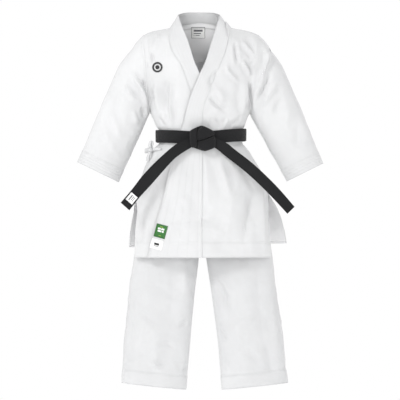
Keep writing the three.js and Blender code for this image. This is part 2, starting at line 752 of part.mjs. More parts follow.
const gusset = (u, v) => {
  const part = mix(-1, 1, u);
  const z = mix(crotchHeight, gussetTop - 3 * cutGap, part * part);
  const y = Math.sign(part) * seatY(0, gussetTop) * Math.abs(part) ** 0.9;
  return point(mix(4, 22, Math.abs(part)) * (2 * v - 1), y, z);
};
add("crotch_gusset", sheetSolid(gusset, 8, 2, cloth), paint.canvas);

const waistRing = (grow, top, bottom) => (u, v) => {
  const angle = 2 * Math.PI * u;
  const z = mix(top, bottom, v);
  return point(
    (seatHalfWidth(z) + grow) * Math.cos(angle),
    (seatDepth(z) + cutGap + grow) * Math.sin(angle),
    z,
  );
};
const band = waistRing(0, waistbandTop, waistbandTop - waistbandHeight);
add("trouser_waistband", sheetSolid(band, 32, 1, hemPly, { ring: true }), paint.canvas);
const cordTop = waistbandTop - waistbandHeight / 2 + cordPly / 2;
const cord = waistRing(-(hemPly + cordPly) / 2 - gap, cordTop, cordTop - cordPly);
add("drawstring", sheetSolid(cord, 32, 1, cordPly, { ring: true }), paint.elastic);

export default group;
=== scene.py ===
import math
import bpy
import numpy as np
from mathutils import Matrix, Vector, noise


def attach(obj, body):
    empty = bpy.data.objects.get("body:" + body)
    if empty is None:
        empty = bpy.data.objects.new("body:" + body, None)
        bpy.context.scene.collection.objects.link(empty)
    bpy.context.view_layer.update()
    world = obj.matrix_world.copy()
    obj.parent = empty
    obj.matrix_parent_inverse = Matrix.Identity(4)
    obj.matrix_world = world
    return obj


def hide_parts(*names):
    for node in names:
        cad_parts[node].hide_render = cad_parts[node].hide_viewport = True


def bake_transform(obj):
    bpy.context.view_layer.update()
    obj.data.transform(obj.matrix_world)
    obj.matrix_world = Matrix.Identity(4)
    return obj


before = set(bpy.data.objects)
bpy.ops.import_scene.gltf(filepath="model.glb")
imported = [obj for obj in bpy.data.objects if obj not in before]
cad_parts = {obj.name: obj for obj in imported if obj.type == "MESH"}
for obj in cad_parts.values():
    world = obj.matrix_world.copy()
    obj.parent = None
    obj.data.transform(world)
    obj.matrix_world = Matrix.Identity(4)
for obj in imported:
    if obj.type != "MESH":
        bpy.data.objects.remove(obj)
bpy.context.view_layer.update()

# Lengths here are in millimetres, and turn into metres where a mesh is made.
toMetres = 0.001
# the inside colour is much lighter than the outside canvas of the same cloth: painted light that lifts the shade inside
# the jacket and trousers
weave = {"yarn": 0.0013, "bump": 0.35, "canvas": (0.62, 0.623, 0.628),
         "inside": (0.90, 0.90, 0.905), "legs": (0.592, 0.595, 0.601), "thread": (0.54, 0.545, 0.55)}


def clamp(t):
    return np.clip(t, 0.0, 1.0)


def smooth(t):
    t = clamp(t)
    return t * t * (3 - 2 * t)


def mix(a, b, t):
    return a + (b - a) * t


def through(pairs):
    # a smooth curve through the pairs, with no overshoot between them
    pairs = sorted(pairs)
    xs = np.array([p[0] for p in pairs], float)
    ys = np.array([p[1] for p in pairs], float)
    slopes = np.diff(ys) / np.diff(xs)
    tangents = np.empty_like(ys)
    tangents[0], tangents[-1] = slopes[0], slopes[-1]
    for i in range(1, len(xs) - 1):
        a, b = slopes[i - 1], slopes[i]
        tangents[i] = 0 if a * b <= 0 else 2 * a * b / (a + b)

    def at(x):
        x = np.clip(x, xs[0], xs[-1])
        i = np.clip(np.searchsorted(xs, x, side="right") - 1, 0, len(xs) - 2)
        span = xs[i + 1] - xs[i]
        t = (x - xs[i]) / span
        return (ys[i] * (1 + 2 * t) * (1 - t) ** 2 + ys[i + 1] * t * t * (3 - 2 * t)
                + span * (tangents[i] * t * (1 - t) ** 2 - tangents[i + 1] * t * t * (1 - t)))
    return at


def resample(points, count):
    points = np.array(points, float)
    steps = np.r_[0, np.cumsum(np.linalg.norm(np.diff(points, axis=0), axis=1))]
    t = np.linspace(0, steps[-1], count)
    return np.stack([np.interp(t, steps, points[:, k]) for k in range(points.shape[1])], 1)


def rounded(points, passes=3, closed=False):
    # corner cutting
    points = np.array(points, float)
    for _ in range(passes):
        following = np.roll(points, -1, 0) if closed else points[1:]
        first = points if closed else points[:-1]
        a, b = 0.75 * first + 0.25 * following, 0.25 * first + 0.75 * following
        cut = np.stack([a, b], 1).reshape(-1, points.shape[1])
        points = cut if closed else np.vstack([points[:1], cut, points[-1:]])
    return points


def wobble(x, y, z, size, seed=0.0, octaves=2):
    # soft noise of about -1 to 1 for arrays of places in millimetres
    flat = np.stack([np.ravel(x), np.ravel(y), np.ravel(z)], 1) / size + seed
    values = [noise.fractal(Vector(p), 0.8, 2.1, octaves) for p in flat]
    return np.array(values).reshape(np.shape(x))


def newMaterial(name):
    material = bpy.data.materials.new(name)
    material.use_nodes = True
    tree = material.node_tree
    shader = next(n for n in tree.nodes if n.type == "BSDF_PRINCIPLED")
    return material, tree, shader


def mathNode(tree, operation, a, b=None):
    node = tree.nodes.new("ShaderNodeMath")
    node.operation = operation
    for socket, value in zip(node.inputs, (a, b)):
        if value is None:
            continue
        if isinstance(value, (int, float)):
            socket.default_value = value
        else:
            tree.links.new(value, socket)
    return node.outputs[0]


def clothMaterial(name, colour, yarn, bump, roughness, sheen, grain=0.04, ribs=None):
    # a plain weave from the two directions of the UV map, which is in metres; ribs are (pitch, depth) across V
    material, tree, shader = newMaterial(name)
    shader.inputs["Roughness"].default_value = roughness
    shader.inputs["Sheen Weight"].default_value = sheen
    shader.inputs["Sheen Roughness"].default_value = 0.5
    shader.inputs["Specular IOR Level"].default_value = 0.25
    uv = tree.nodes.new("ShaderNodeUVMap")
    split = tree.nodes.new("ShaderNodeSeparateXYZ")
    tree.links.new(uv.outputs[0], split.inputs[0])
    place = tree.nodes.new("ShaderNodeTexCoord")
    slub = tree.nodes.new("ShaderNodeTexNoise")
    slub.inputs["Scale"].default_value = 260
    slub.inputs["Detail"].default_value = 2
    tree.links.new(place.outputs["Object"], slub.inputs["Vector"])
    turn = 2 * math.pi / yarn
    across = mathNode(tree, "SINE", mathNode(tree, "MULTIPLY", split.outputs[0], turn))
    along = mathNode(tree, "SINE", mathNode(tree, "MULTIPLY", split.outputs[1], turn))
    height = mathNode(tree, "MULTIPLY", across, along)
    height = mathNode(tree, "ADD", height, mathNode(tree, "MULTIPLY", slub.outputs["Fac"], 1.2))
    if ribs:
        pitch, deep = ribs
        rib = mathNode(tree, "ABSOLUTE", mathNode(tree, "SINE", mathNode(
            tree, "MULTIPLY", split.outputs[1], math.pi / pitch)))
        rib = mathNode(tree, "POWER", rib, 0.35)
        height = mathNode(tree, "ADD", height, mathNode(tree, "MULTIPLY", rib, deep))
    relief = tree.nodes.new("ShaderNodeBump")
    relief.inputs["Strength"].default_value = bump
    relief.inputs["Distance"].default_value = 0.0006
    tree.links.new(height, relief.inputs["Height"])
    tree.links.new(relief.outputs[0], shader.inputs["Normal"])
    patchy = tree.nodes.new("ShaderNodeTexNoise")
    patchy.inputs["Scale"].default_value = 9
    patchy.inputs["Detail"].default_value = 4
    tree.links.new(place.outputs["Object"], patchy.inputs["Vector"])
    ramp = tree.nodes.new("ShaderNodeValToRGB")
    ramp.color_ramp.elements[0].position = 0.3
    ramp.color_ramp.elements[1].position = 0.7
    ramp.color_ramp.elements[0].color = (*[c * (1 - grain) for c in colour], 1)
    ramp.color_ramp.elements[1].color = (*[min(1, c * (1 + grain * 0.6)) for c in colour], 1)
    tree.links.new(patchy.outputs["Fac"], ramp.inputs["Fac"])
    tint = tree.nodes.new("ShaderNodeMix")
    tint.data_type = "RGBA"
    tint.blend_type = "MULTIPLY"
    tint.inputs["Factor"].default_value = 0.5
    tree.links.new(ramp.outputs["Color"], tint.inputs["A"])
    # the colour is darkened where the weave and the belt's ribs sink: painted shade in their grooves, with a real
    # uneven tone from the slub noise in the same height
    paintedYarnShade = tree.nodes.new("ShaderNodeValToRGB")
    paintedYarnShade.color_ramp.elements[0].color = (0.9, 0.9, 0.9, 1)
    paintedYarnShade.color_ramp.elements[1].color = (1, 1, 1, 1)
    tree.links.new(mathNode(tree, "MULTIPLY", mathNode(tree, "ADD", height, 1.0), 0.5), paintedYarnShade.inputs["Fac"])
    tree.links.new(paintedYarnShade.outputs["Color"], tint.inputs["B"])
    tree.links.new(tint.outputs["Result"], shader.inputs["Base Color"])
    material.diffuse_color = (*colour, 1)
    return material


canvas = clothMaterial("bleachedCanvas", weave["canvas"], weave["yarn"], weave["bump"], 0.88, 0.12)
# the inside faces, the yoke lining and the inner tie take this lighter copy of the canvas: painted light against the
# shade inside the garment
innerCanvasPaintedLight = clothMaterial("innerCanvasPaintedLight", weave["inside"], weave["yarn"], 0.4, 0.9, 0.1)
legCanvas = clothMaterial("trouserCanvas", weave["legs"], weave["yarn"], weave["bump"], 0.88, 0.12)
bandCanvas = clothMaterial("collarCanvas", weave["canvas"], weave["yarn"], 0.4, 0.86, 0.12)
thread = clothMaterial("sewingThread", weave["thread"], 0.0006, 0.3, 0.7, 0.2)
beltCotton = clothMaterial("blackBeltCotton", (0.0085, 0.0085, 0.0095), 0.0011, 0.6, 0.82, 0.06,
                           grain=0.25, ribs=(0.0045, 5.0))
knotCotton = clothMaterial("blackKnotCotton", (0.0085, 0.0085, 0.0095), 0.0011, 0.6, 0.82, 0.06,
                           grain=0.25, ribs=(0.0045, 5.0))
labelSatin = clothMaterial("whiteLabel", (0.82, 0.82, 0.81), 0.0005, 0.2, 0.5, 0.1)
labelPrint = clothMaterial("greyPrint", (0.13, 0.13, 0.14), 0.0005, 0.2, 0.6, 0.1)
blackThread = clothMaterial("blackEmbroidery", (0.012, 0.012, 0.013), 0.0008, 0.8, 0.5, 0.3)
patchTwill = clothMaterial("greenTwill", (0.045, 0.19, 0.042), 0.0009, 0.6, 0.7, 0.2, grain=0.15)
patchBorder = clothMaterial("limeThread", (0.30, 0.46, 0.06), 0.0008, 0.7, 0.6, 0.2)
cordCotton = clothMaterial("drawstringCotton", (0.78, 0.77, 0.73), 0.0014, 0.8, 0.85, 0.2)
print("materials ready")


class Piece:
    # collects vertices and faces in millimetres, and makes one object of them
    def __init__(self, name):
        self.name, self.verts, self.faces, self.slots, self.uvs = name, [], [], [], []
        self.materials = []

    def slot(self, material):
        if material not in self.materials:
            self.materials.append(material)
        return self.materials.index(material)

    def add(self, verts, faces, material, uvs=None):
        start = len(self.verts)
        self.verts.extend(map(tuple, verts))
        self.uvs.extend(map(tuple, uvs) if uvs is not None else [(v[0], v[2]) for v in verts])
        self.faces.extend(tuple(start + i for i in face) for face in faces)
        self.slots.extend([self.slot(material)] * len(faces))

    def make(self, smoothShade=True):
        mesh = bpy.data.meshes.new(self.name)
        mesh.from_pydata([tuple(c * toMetres for c in v) for v in self.verts], [], self.faces)
        for material in self.materials:
            mesh.materials.append(material)
        mesh.polygons.foreach_set("material_index", self.slots)
        mesh.polygons.foreach_set("use_smooth", [smoothShade] * len(self.faces))
        layer = mesh.uv_layers.new(name="UVMap")
        corners = np.zeros(len(mesh.loops), np.int32)
        mesh.loops.foreach_get("vertex_index", corners)
        uv = np.array(self.uvs, float)[corners] * toMetres
        layer.data.foreach_set("uv", uv.ravel())
        mesh.update()
        obj = bpy.data.objects.new(self.name, mesh)
        bpy.context.scene.collection.objects.link(obj)
        return obj


def gridNormals(grid, ring=False, outwards=None):
    if ring:
        du = np.roll(grid, -1, 1) - np.roll(grid, 1, 1)
    else:
        du = np.gradient(grid, axis=1)
    dv = np.gradient(grid, axis=0)
    normals = np.cross(du, dv)
    normals /= np.maximum(np.linalg.norm(normals, axis=2, keepdims=True), 1e-9)
    reference = grid * [1, 1, 0] + [0, 0, 60] if outwards is None else grid - outwards
    if np.sum(normals * reference) < 0:
        normals = -normals
    return normals


def gridLengths(grid):
    # distances along the middle row and column, used for UVs
    across = np.r_[0, np.cumsum(np.linalg.norm(np.diff(grid[grid.shape[0] // 2], axis=0), axis=1))]
    down = np.r_[0, np.cumsum(np.linalg.norm(np.diff(grid[:, grid.shape[1] // 2], axis=0), axis=1))]
    return across, down


def addShell(piece, grid, thickness, material, ring=False, outwards=None, inside=None, swapUv=False):
    # a sheet with its own thickness, closed round its edges; the grid is its outer face
    rows, columns = grid.shape[:2]
    normals = gridNormals(grid, ring, outwards)
    thickness = np.broadcast_to(thickness, (rows, columns))
    inner = grid - normals * thickness[..., None]
    across, down = gridLengths(grid)
    uu, vv = np.meshgrid(across, down)
    uvs = np.stack([vv, uu] if swapUv else [uu, vv], 2).reshape(-1, 2)
    index = np.arange(rows * columns).reshape(rows, columns)
    wrap = (lambda a: np.hstack([a, a[:, :1]])) if ring else (lambda a: a)
    index = wrap(index)
    quads = np.stack([index[:-1, :-1], index[:-1, 1:], index[1:, 1:], index[1:, :-1]], 2).reshape(-1, 4)
    middle = (rows // 2, columns // 3)
    a = grid[middle]
    area = np.cross(grid[middle[0], middle[1] + 1] - a, grid[middle[0] + 1, middle[1]] - a)
    turned = np.dot(area, normals[middle]) < 0
    outer = quads[:, ::-1] if turned else quads
    piece.add(grid.reshape(-1, 3), outer, material, uvs)
    first = len(piece.verts) - rows * columns
    piece.add(inner.reshape(-1, 3), outer[:, ::-1], inside or material, uvs)
    second = first + rows * columns
    rims = [index[0], index[-1][::-1]]
    if not ring:
        rims += [index[:, 0][::-1], index[:, -1]]
    slot = piece.slot(material)
    for rim in rims:
        for i, k in zip(rim[:-1], rim[1:]):
            face = (first + i, second + i, second + k, first + k)
            piece.faces.append(face if turned else face[::-1])
            piece.slots.append(slot)
    return normals


def raised(grid, relief, ring=False, outwards=None):
    # the outer face where the cloth is turned up and stitched down
    return grid + gridNormals(grid, ring, outwards) * (relief + 0 * grid[..., 0])[..., None]


def addStitches(piece, path, normals, material, length=2.6, gap=1.3, radius=0.32):
    # a row of small raised stitches along a path that lies on the cloth
    path, normals = np.array(path, float), np.array(normals, float)
    steps = np.r_[0, np.cumsum(np.linalg.norm(np.diff(path, axis=0), axis=1))]
    if steps[-1] < length * 2:
        return
    starts = np.arange(gap, steps[-1] - length, length + gap)
    at = lambda t, what: np.stack([np.interp(t, steps, what[:, k]) for k in range(3)], 1)
    a, b = at(starts, path), at(starts + length, path)
    up = at(starts + length / 2, normals)
    up /= np.linalg.norm(up, axis=1, keepdims=True)
    way = b - a
    way /= np.maximum(np.linalg.norm(way, axis=1, keepdims=True), 1e-9)
    side = np.cross(up, way)
    verts, faces = [], []
    for i in range(len(starts)):
        n = len(verts)
        for end, lift in ((a[i], 0.0), (mix(a[i], b[i], 0.5), 1.0), (b[i], 0.0)):
            verts += [end - side[i] * radius, end + up[i] * radius * (0.5 + 0.9 * lift), end + side[i] * radius]
        faces += [(n, n + 3, n + 4, n + 1), (n + 1, n + 4, n + 5, n + 2),
                  (n + 3, n + 6, n + 7, n + 4), (n + 4, n + 7, n + 8, n + 5),
                  (n + 3, n, n + 2, n + 5), (n + 6, n + 3, n + 5, n + 8), (n, n + 1, n + 2), (n + 6, n + 8, n + 7)]
    piece.add(verts, faces, material)


def rowAt(grid, row):
    # a line across the grid at a row number that may lie between two rows
    low = int(min(max(math.floor(row), 0), grid.shape[0] - 2))
    return mix(grid[low], grid[low + 1], row - low)


def spreadRows(start, end, step, marks=(), spread=(0.9, 2.2)):
    # evenly spaced values with extra ones close to each mark, for hem lines and rows of stitches
    count = max(2, int(abs(end - start) / step) + 1)
    values = set(np.round(np.linspace(start, end, count), 3))
    for mark in marks:
        values |= {round(mark + s * k, 3) for s in (-1, 1) for k in spread} | {round(mark, 3)}
    low, high = min(start, end), max(start, end)
    ordered = sorted(v for v in values if low <= v <= high)
    kept = [ordered[0]]
    for v in ordered[1:]:
        if v - kept[-1] > 0.35:
            kept.append(v)
    kept[-1] = high
    return np.array(kept if end > start else kept[::-1])


body = {"round": 2.3}  # how square the oval round the body is
# half widths at the wearer's right (-1) and left (1), by height
halfWidth = {
    ("front", -1): through([(-844, 260), (-700, 250), (-600, 236), (-545, 219), (-501, 203), (-479, 193), (-457, 182),
                            (-437, 166), (-424, 154), (-379, 154), (-365, 163), (-346, 172), (-324, 181), (-313, 186),
                            (-110, 190)]),
    ("front", 1): through([(-844, 272), (-700, 262), (-600, 243), (-545, 229), (-501, 206), (-479, 192), (-457, 179),
                           (-437, 163), (-424, 152), (-379, 152), (-365, 159), (-346, 166), (-324, 174), (-313, 181),
                           (-110, 189)]),
    ("back", -1): through([(-812, 282), (-766, 279), (-722, 274), (-678, 264), (-600, 236), (-545, 219), (-501, 203),
                           (-479, 193), (-457, 182), (-437, 166), (-424, 154), (-379, 154), (-365, 163), (-346, 172),
                           (-324, 181), (-313, 186), (-110, 190)]),
    ("back", 1): through([(-812, 334), (-766, 328), (-722, 320), (-678, 302), (-600, 244), (-545, 229), (-501, 206),
                          (-479, 192), (-457, 179), (-437, 163), (-424, 152), (-379, 152), (-365, 159), (-346, 166),
                          (-324, 174), (-313, 181), (-110, 189)]),
}


def depths(hem, hemDepth, flare):
    return through([(hem, hemDepth), (-600, mix(92, hemDepth, flare)), (-432, 92), (-372, 92), (-313, 106),
                    (-200, 108), (26, 86)])


depth = {"front": depths(-844, 106, 0.7), "back": depths(-812, 132, 0.6)}
sleeveTurn = math.radians(24.4)
pivot = (191, -110)
sleeve = {
    -1: {"outer": through([(0, 73), (29, 81), (81, 89), (459, 82)]), "inner": through([(0, -86), (463, -86)])},
    1: {"outer": through([(0, 70), (29, 78), (81, 86), (461, 75)]),
        "inner": through([(0, -88), (184, -95), (300, -87), (466, -73)])},
}
capRadius = through([(-180, 87), (-120, 90), (-3, 90), (5, 84), (24, 72), (43, 73), (65, 79.5), (94, 95), (180, 95)])
armDepthAt = through([(0, 60), (461, 50)])
shoulderLine = through([(112, 0), (185, -15), (225, -37), (257, -81)])


def toSleeve(x, z):
    dx, dz = np.abs(x) - pivot[0], z - pivot[1]
    s, c = math.sin(sleeveTurn), math.cos(sleeveTurn)
    return dx * s - dz * c, dx * c + dz * s


def fromSleeve(along, out):
    s, c = math.sin(sleeveTurn), math.cos(sleeveTurn)
    return pivot[0] + along * s + out * c, pivot[1] - along * c + out * s


def armDepth(x, z, sign):
    along, out = toSleeve(x, z)
    outer, inner = sleeve[sign]["outer"](along), sleeve[sign]["inner"](along)
    angle = np.degrees(np.arctan2(z - pivot[1], np.abs(x) - pivot[0]))
    away = np.hypot(np.abs(x) - pivot[0], z - pivot[1]) / capRadius(angle)
    share = np.where(along < 0, away, (2 * out - outer - inner) / (outer - inner))
    return armDepthAt(along) * np.sqrt(np.maximum(0, 1 - share * share))


def ridge(x):
    inside = 112 - np.abs(x)
    return np.where(inside > 0, inside * 1.25, shoulderLine(np.abs(x)))


def bodyDepth(side, x, z):
    below = clamp((ridge(x) - z) / 72)
    rounding = np.sqrt(1 - (1 - below) ** 2)
    width = np.where(x < 0, halfWidth[(side, -1)](z), halfWidth[(side, 1)](z))
    oval = np.maximum(0, 1 - np.abs(x / width) ** body["round"]) ** (1 / body["round"])
    trunk = depth[side](z) * oval * rounding
    arm = np.where(x < 0, armDepth(x, z, -1), armDepth(x, z, 1))
    # the front and the back meet along the shoulder line, on top of the sleeve cap too
    cap = 1 - smooth((np.abs(x) - 208) / 10)
    arm = np.where(np.abs(x) > 60, arm, 0) * (1 - cap * (1 - smooth((ridge(x) - z) / 4)))
    return (trunk ** 4 + arm ** 4) ** 0.25


cloth = {"thick": 1.3, "hem": 1.5, "hemHeight": 56, "step": 5.2, "columns": 58}


# Each fold is a path over the front view, with its width and its height: a ridge stands out, a valley sinks in.
frontFolds = [
    # wearer's right shoulder and sleeve
    ([(-217, -41), (-212, -75), (-208, -116)], 7, -5), ([(-179, -90), (-177, -135)], 6, -4),
    ([(-197, -125), (-192, -155)], 6, -4), ([(-147, -26), (-177, -85)], 14, 6),
    ([(-214, -190), (-194, -246)], 8, -10), ([(-260, -166), (-227, -205), (-205, -250), (-196, -294)], 9, 9),
    ([(-284, -211), (-240, -267)], 10, 7), ([(-306, -215), (-316, -300), (-307, -376)], 24, -6),
    ([(-217, -290), (-207, -336)], 7, -6), ([(-250, -300), (-232, -360)], 12, 5),
    ([(-370, -330), (-330, -420)], 18, 3), ([(-330, -300), (-290, -420)], 16, 4),
    # wearer's right chest
    ([(-140, -190), (-134, -240), (-118, -305)], 20, -8),
    ([(-124, -190), (-105, -221), (-116, -291), (-99, -372)], 8, 7),
    ([(-168, -190), (-160, -260), (-150, -330)], 10, 5), ([(-160, -330), (-128, -372)], 7, -4),
    # wearer's left chest
    ([(124, -47), (127, -106), (139, -142)], 7, -5), ([(96, -133), (98, -166), (144, -201)], 7, 5),
    ([(77, -145), (45, -175), (29, -199), (38, -212), (38, -240), (20, -250)], 6, -5),
    ([(20, -250), (68, -300), (96, -306)], 6, -5), ([(50, -215), (90, -280)], 16, 5),
    ([(150, -120), (183, -177)], 7, 7), ([(206, -129), (186, -151)], 6, 5),
    ([(182, -195), (179, -240), (181, -306)], 6, -14), ([(160, -190), (158, -260), (150, -330)], 12, 5),
    # wearer's left sleeve
    ([(147, -48), (203, -109)], 9, 6), ([(236, -63), (249, -113), (232, -160), (206, -210)], 9, 8),
    ([(262, -160), (235, -215), (203, -276)], 9, -9), ([(285, -190), (245, -262), (215, -300)], 10, 6),
    ([(300, -250), (262, -330)], 14, -5), ([(330, -290), (300, -380)], 16, 4), ([(360, -330), (350, -450)], 18, -3),
    # above the belt
    ([(48, -328), (70, -376)], 6, -4), ([(98, -332), (85, -378)], 6, 5), ([(91, -378), (144, -328)], 7, -5),
    ([(20, -330), (40, -378)], 7, 4), ([(120, -340), (118, -378)], 6, 3), ([(-60, -330), (-72, -376)], 6, 3),
    # skirts
    ([(-99, -600), (-112, -690)], 12, -5), ([(-67, -610), (-32, -676)], 12, 5),
    ([(-114, -712), (0, -720), (114, -712)], 15, -5), ([(-112, -715), (-67, -772)], 9, 5),
    ([(40, -757), (92, -757)], 20, 4), ([(192, -600), (175, -700), (155, -790)], 22, -9),
    ([(120, -600), (100, -700), (95, -800)], 26, 6), ([(220, -560), (230, -700), (236, -820)], 16, 6),
    ([(-20, -600), (-8, -700), (10, -800)], 26, -4), ([(60, -470), (90, -560), (110, -640)], 16, 5),
    ([(-140, -460), (-175, -540), (-200, -640)], 14, -6), ([(110, -450), (150, -520), (200, -600)], 12, -5),
    ([(-170, -470), (-205, -560), (-225, -680)], 12, 5), ([(-215, -650), (-222, -820)], 12, -4),
    ([(-60, -460), (-90, -560), (-120, -700)], 14, 3), ([(10, -470), (20, -560), (24, -660)], 18, 3),
]
backFolds = [
    ([(-180, -60), (-120, -200), (-60, -330)], 22, 7), ([(180, -60), (120, -200), (60, -330)], 22, 7),
    ([(-120, -60), (-60, -200)], 24, -6), ([(120, -60), (70, -190)], 24, -6), ([(0, -120), (6, -340)], 26, 5),
    ([(-214, -180), (-190, -300)], 9, -9), ([(214, -180), (190, -300)], 9, -9),
    ([(-260, -166), (-215, -250)], 10, 8), ([(262, -160), (214, -250)], 10, 8),
    ([(-310, -220), (-320, -380)], 24, -6), ([(318, -230), (330, -390)], 22, -6),
    ([(-250, -300), (-300, -430)], 14, 5), ([(262, -320), (300, -440)], 14, 5),
    ([(-100, -330), (-80, -376)], 7, -4), ([(90, -330), (70, -376)], 7, -4), ([(-30, -330), (-26, -376)], 7, 4),
    ([(30, -320), (36, -376)], 7, -3), ([(-110, -430), (-150, -600), (-170, -800)], 22, 8),
    ([(100, -430), (140, -600), (170, -800)], 22, 8), ([(0, -430), (-6, -600), (-10, -800)], 24, 6),
    ([(-50, -440), (-70, -600), (-80, -800)], 22, -7), ([(50, -440), (70, -620), (84, -800)], 22, -7),
    ([(-190, -500), (-220, -800)], 14, -6), ([(190, -520), (240, -800)], 18, -7),
]
legFolds = [
    ([(-192, -1223), (-144, -1253)], 10, 5), ([(-181, -1179), (-122, -1153), (-96, -1188)], 10, -5),
    ([(-81, -1103), (-50, -1072)], 9, -5), ([(-67, -1262), (-46, -1240)], 8, -4),
    ([(-250, -900), (-262, -1290)], 16, -4),
    ([(-200, -840), (-190, -1000), (-215, -1180)], 26, 5), ([(-110, -850), (-100, -980), (-130, -1120)], 26, -5),
    ([(-60, -850), (-62, -1010)], 16, 4), ([(-160, -1100), (-170, -1290)], 22, 4),
    ([(-225, -1040), (-160, -1090)], 12, -4),
    ([(35, -917), (80, -950), (99, -1032), (98, -1072)], 10, -6), ([(57, -1087), (98, -1160)], 9, -5),
    ([(120, -850), (130, -1000), (150, -1200)], 26, 5), ([(200, -850), (215, -1000), (225, -1180)], 24, -5),
    ([(60, -900), (110, -990)], 12, 4), ([(150, -1180), (220, -1230)], 12, -4), ([(250, -900), (290, -1290)], 14, 3),
    ([(90, -1200), (110, -1300)], 14, 3), ([(230, -1120), (262, -1290)], 14, -3), ([(130, -1090), (200, -1060)], 12, 3),
]


def foldHeight(x, z, folds, strength=1.7):
    total = np.zeros_like(x)
    for path, width, height in folds:
        path = rounded(path, 2) if len(path) > 2 else np.array(path, float)
        steps = np.r_[0, np.cumsum(np.linalg.norm(np.diff(path, axis=0), axis=1))]
        near = np.full(x.shape, 1e9)
        where = np.zeros_like(x)
        for i in range(len(path) - 1):
            way = path[i + 1] - path[i]
            size = max(np.hypot(*way), 1e-6)
            t = np.clip(((x - path[i][0]) * way[0] + (z - path[i][1]) * way[1]) / size ** 2, 0, 1)
            away = np.hypot(x - path[i][0] - t * way[0], z - path[i][1] - t * way[1])
            closer = away < near
            near = np.where(closer, away, near)
            where = np.where(closer, (steps[i] + t * size) / steps[-1], where)
        taper = smooth(np.minimum(where, 1 - where) / 0.4 + 0.08)
        crest = 0.55 * np.exp(-(near / width) ** 2) + 0.45 * np.exp(-np.abs(near / (0.55 * width)) ** 1.5)
        total += strength * height * taper * (crest - 0.3 * np.exp(-((near - 1.9 * width) / width) ** 2))
    return total


def crumple(x, y, z, seed, broad=3.0, fine=0.85):
    # the slack of heavy cloth: broad waves, and flatter facets between soft creases
    wide = wobble(x, y * 0.4, z * 0.8, 95, seed)
    facets = 1 - 2.4 * np.abs(wobble(x, y * 0.4, z * 0.75, 62, seed + 7.3))
    small = 1 - 2.4 * np.abs(wobble(x, y * 0.4, z * 0.7, 27, seed + 3.1))
    return broad * wide + fine * 1.6 * facets + fine * 0.55 * small


def calm(z):
    # the belt holds the cloth still
    return smooth((np.abs(z + 402) - 26) / 40)


def gathers(x, z, seed):
    # short pleats that run out of the belt
    near = np.exp(-np.maximum(0, np.abs(z + 402) - 22) / 42)
    return 3.4 * near * wobble(x, x * 0, z * 0.16, 17, seed, 1) * smooth((np.abs(z + 402) - 20) / 14)


def jacketSurface(side, x, z, lift=0.0, edge=1.0, seed=0.0):
    # edge runs from 0 at a seam to 1 in the open cloth
    sign = -1 if side == "front" else 1
    y = sign * (bodyDepth(side, x, z) + 0.6)
    grid = np.stack([x, y, z], 2)
    normals = gridNormals(grid)
    folds = frontFolds if side == "front" else backFolds
    height = foldHeight(x, z, folds) * calm(z) + gathers(x, z, 2.0 if side == "front" else 5.0)
    height = height + crumple(x, y, z, 1.0 if side == "front" else 4.0) * calm(z)
    return grid + normals * (height * edge + lift)[..., None]


def hemRelief(fromEdge, height, lines, groove=1.1):
    # a turned hem stands out by its extra ply, and each row of stitches pulls it in
    relief = cloth["hem"] * smooth((height - fromEdge) / 2.2 + 0.5)
    for line in lines:
        relief = relief - groove * np.exp(-((fromEdge - line) / 1.6) ** 2)
    return relief


band = {"thick": 4.4, "columns": 15, "rows": (0.1, 0.28, 0.46, 0.64, 0.82, 0.94)}
# the seam and the free edge of each side, by height: the wearer's left (1) lies over the right (-1)
bandSeam = {
    1: through([(-844, 5), (-330, 5), (-292, 9), (-250, 24), (-171, 55), (-129, 74), (-77, 92), (-30, 102), (2, 104)]),
    -1: through([(-844, -5), (-330, -5), (-292, -12), (-250, -34), (-171, -61), (-135, -76), (-110, -94), (-80, -110),
                 (-40, -118), (2, -113)]),
}
bandEdge = {
    1: through([(-844, -195), (-718, -164), (-652, -144), (-516, -112), (-431, -85), (-380, -74), (-324, -59),
                (-250, -38), (-171, -5), (-129, 15), (-77, 31), (0, 55), (50, 69)]),
    -1: through([(-844, 186), (-718, 156), (-652, 136), (-516, 104), (-431, 77), (-380, 66), (-324, 50), (-250, 28),
                 (-171, -5), (-122, -26), (-85, -37), (-48, -49), (10, -72), (50, -84)]),
}
bandRise = through([(-171, 0), (-135, 7), (-100, 20), (-48, 32), (-14, 44), (2, 48)])
edgeDepth = through([(-171, 108), (-128, 104), (-80, 94), (-16, 66), (30, 34), (50, 1)])
overlap = 6.4


def leftLift(x, z):
    # the wearer's left front rides over the right one as far as the right one's free edge
    return overlap * (1 - smooth((x - bandEdge[-1](z) - 4) / 40))


def bandPoints(sign, zs, u):
    seamZ = zs[:, None] + 0 * u[None]
    riseNow = bandRise(seamZ)
    edgeZ = seamZ + riseNow
    seamX, edgeX = bandSeam[sign](seamZ), bandEdge[sign](edgeZ)
    x, z = mix(seamX, edgeX, u[None]), mix(seamZ, edgeZ, u[None])
    flat = bodyDepth("front", x, z)
    raised = mix(bodyDepth("front", seamX, seamZ), edgeDepth(edgeZ), u[None])
    y = -mix(flat, raised, clamp((seamZ + 190) / 40)) - 0.6
    return x, y, z


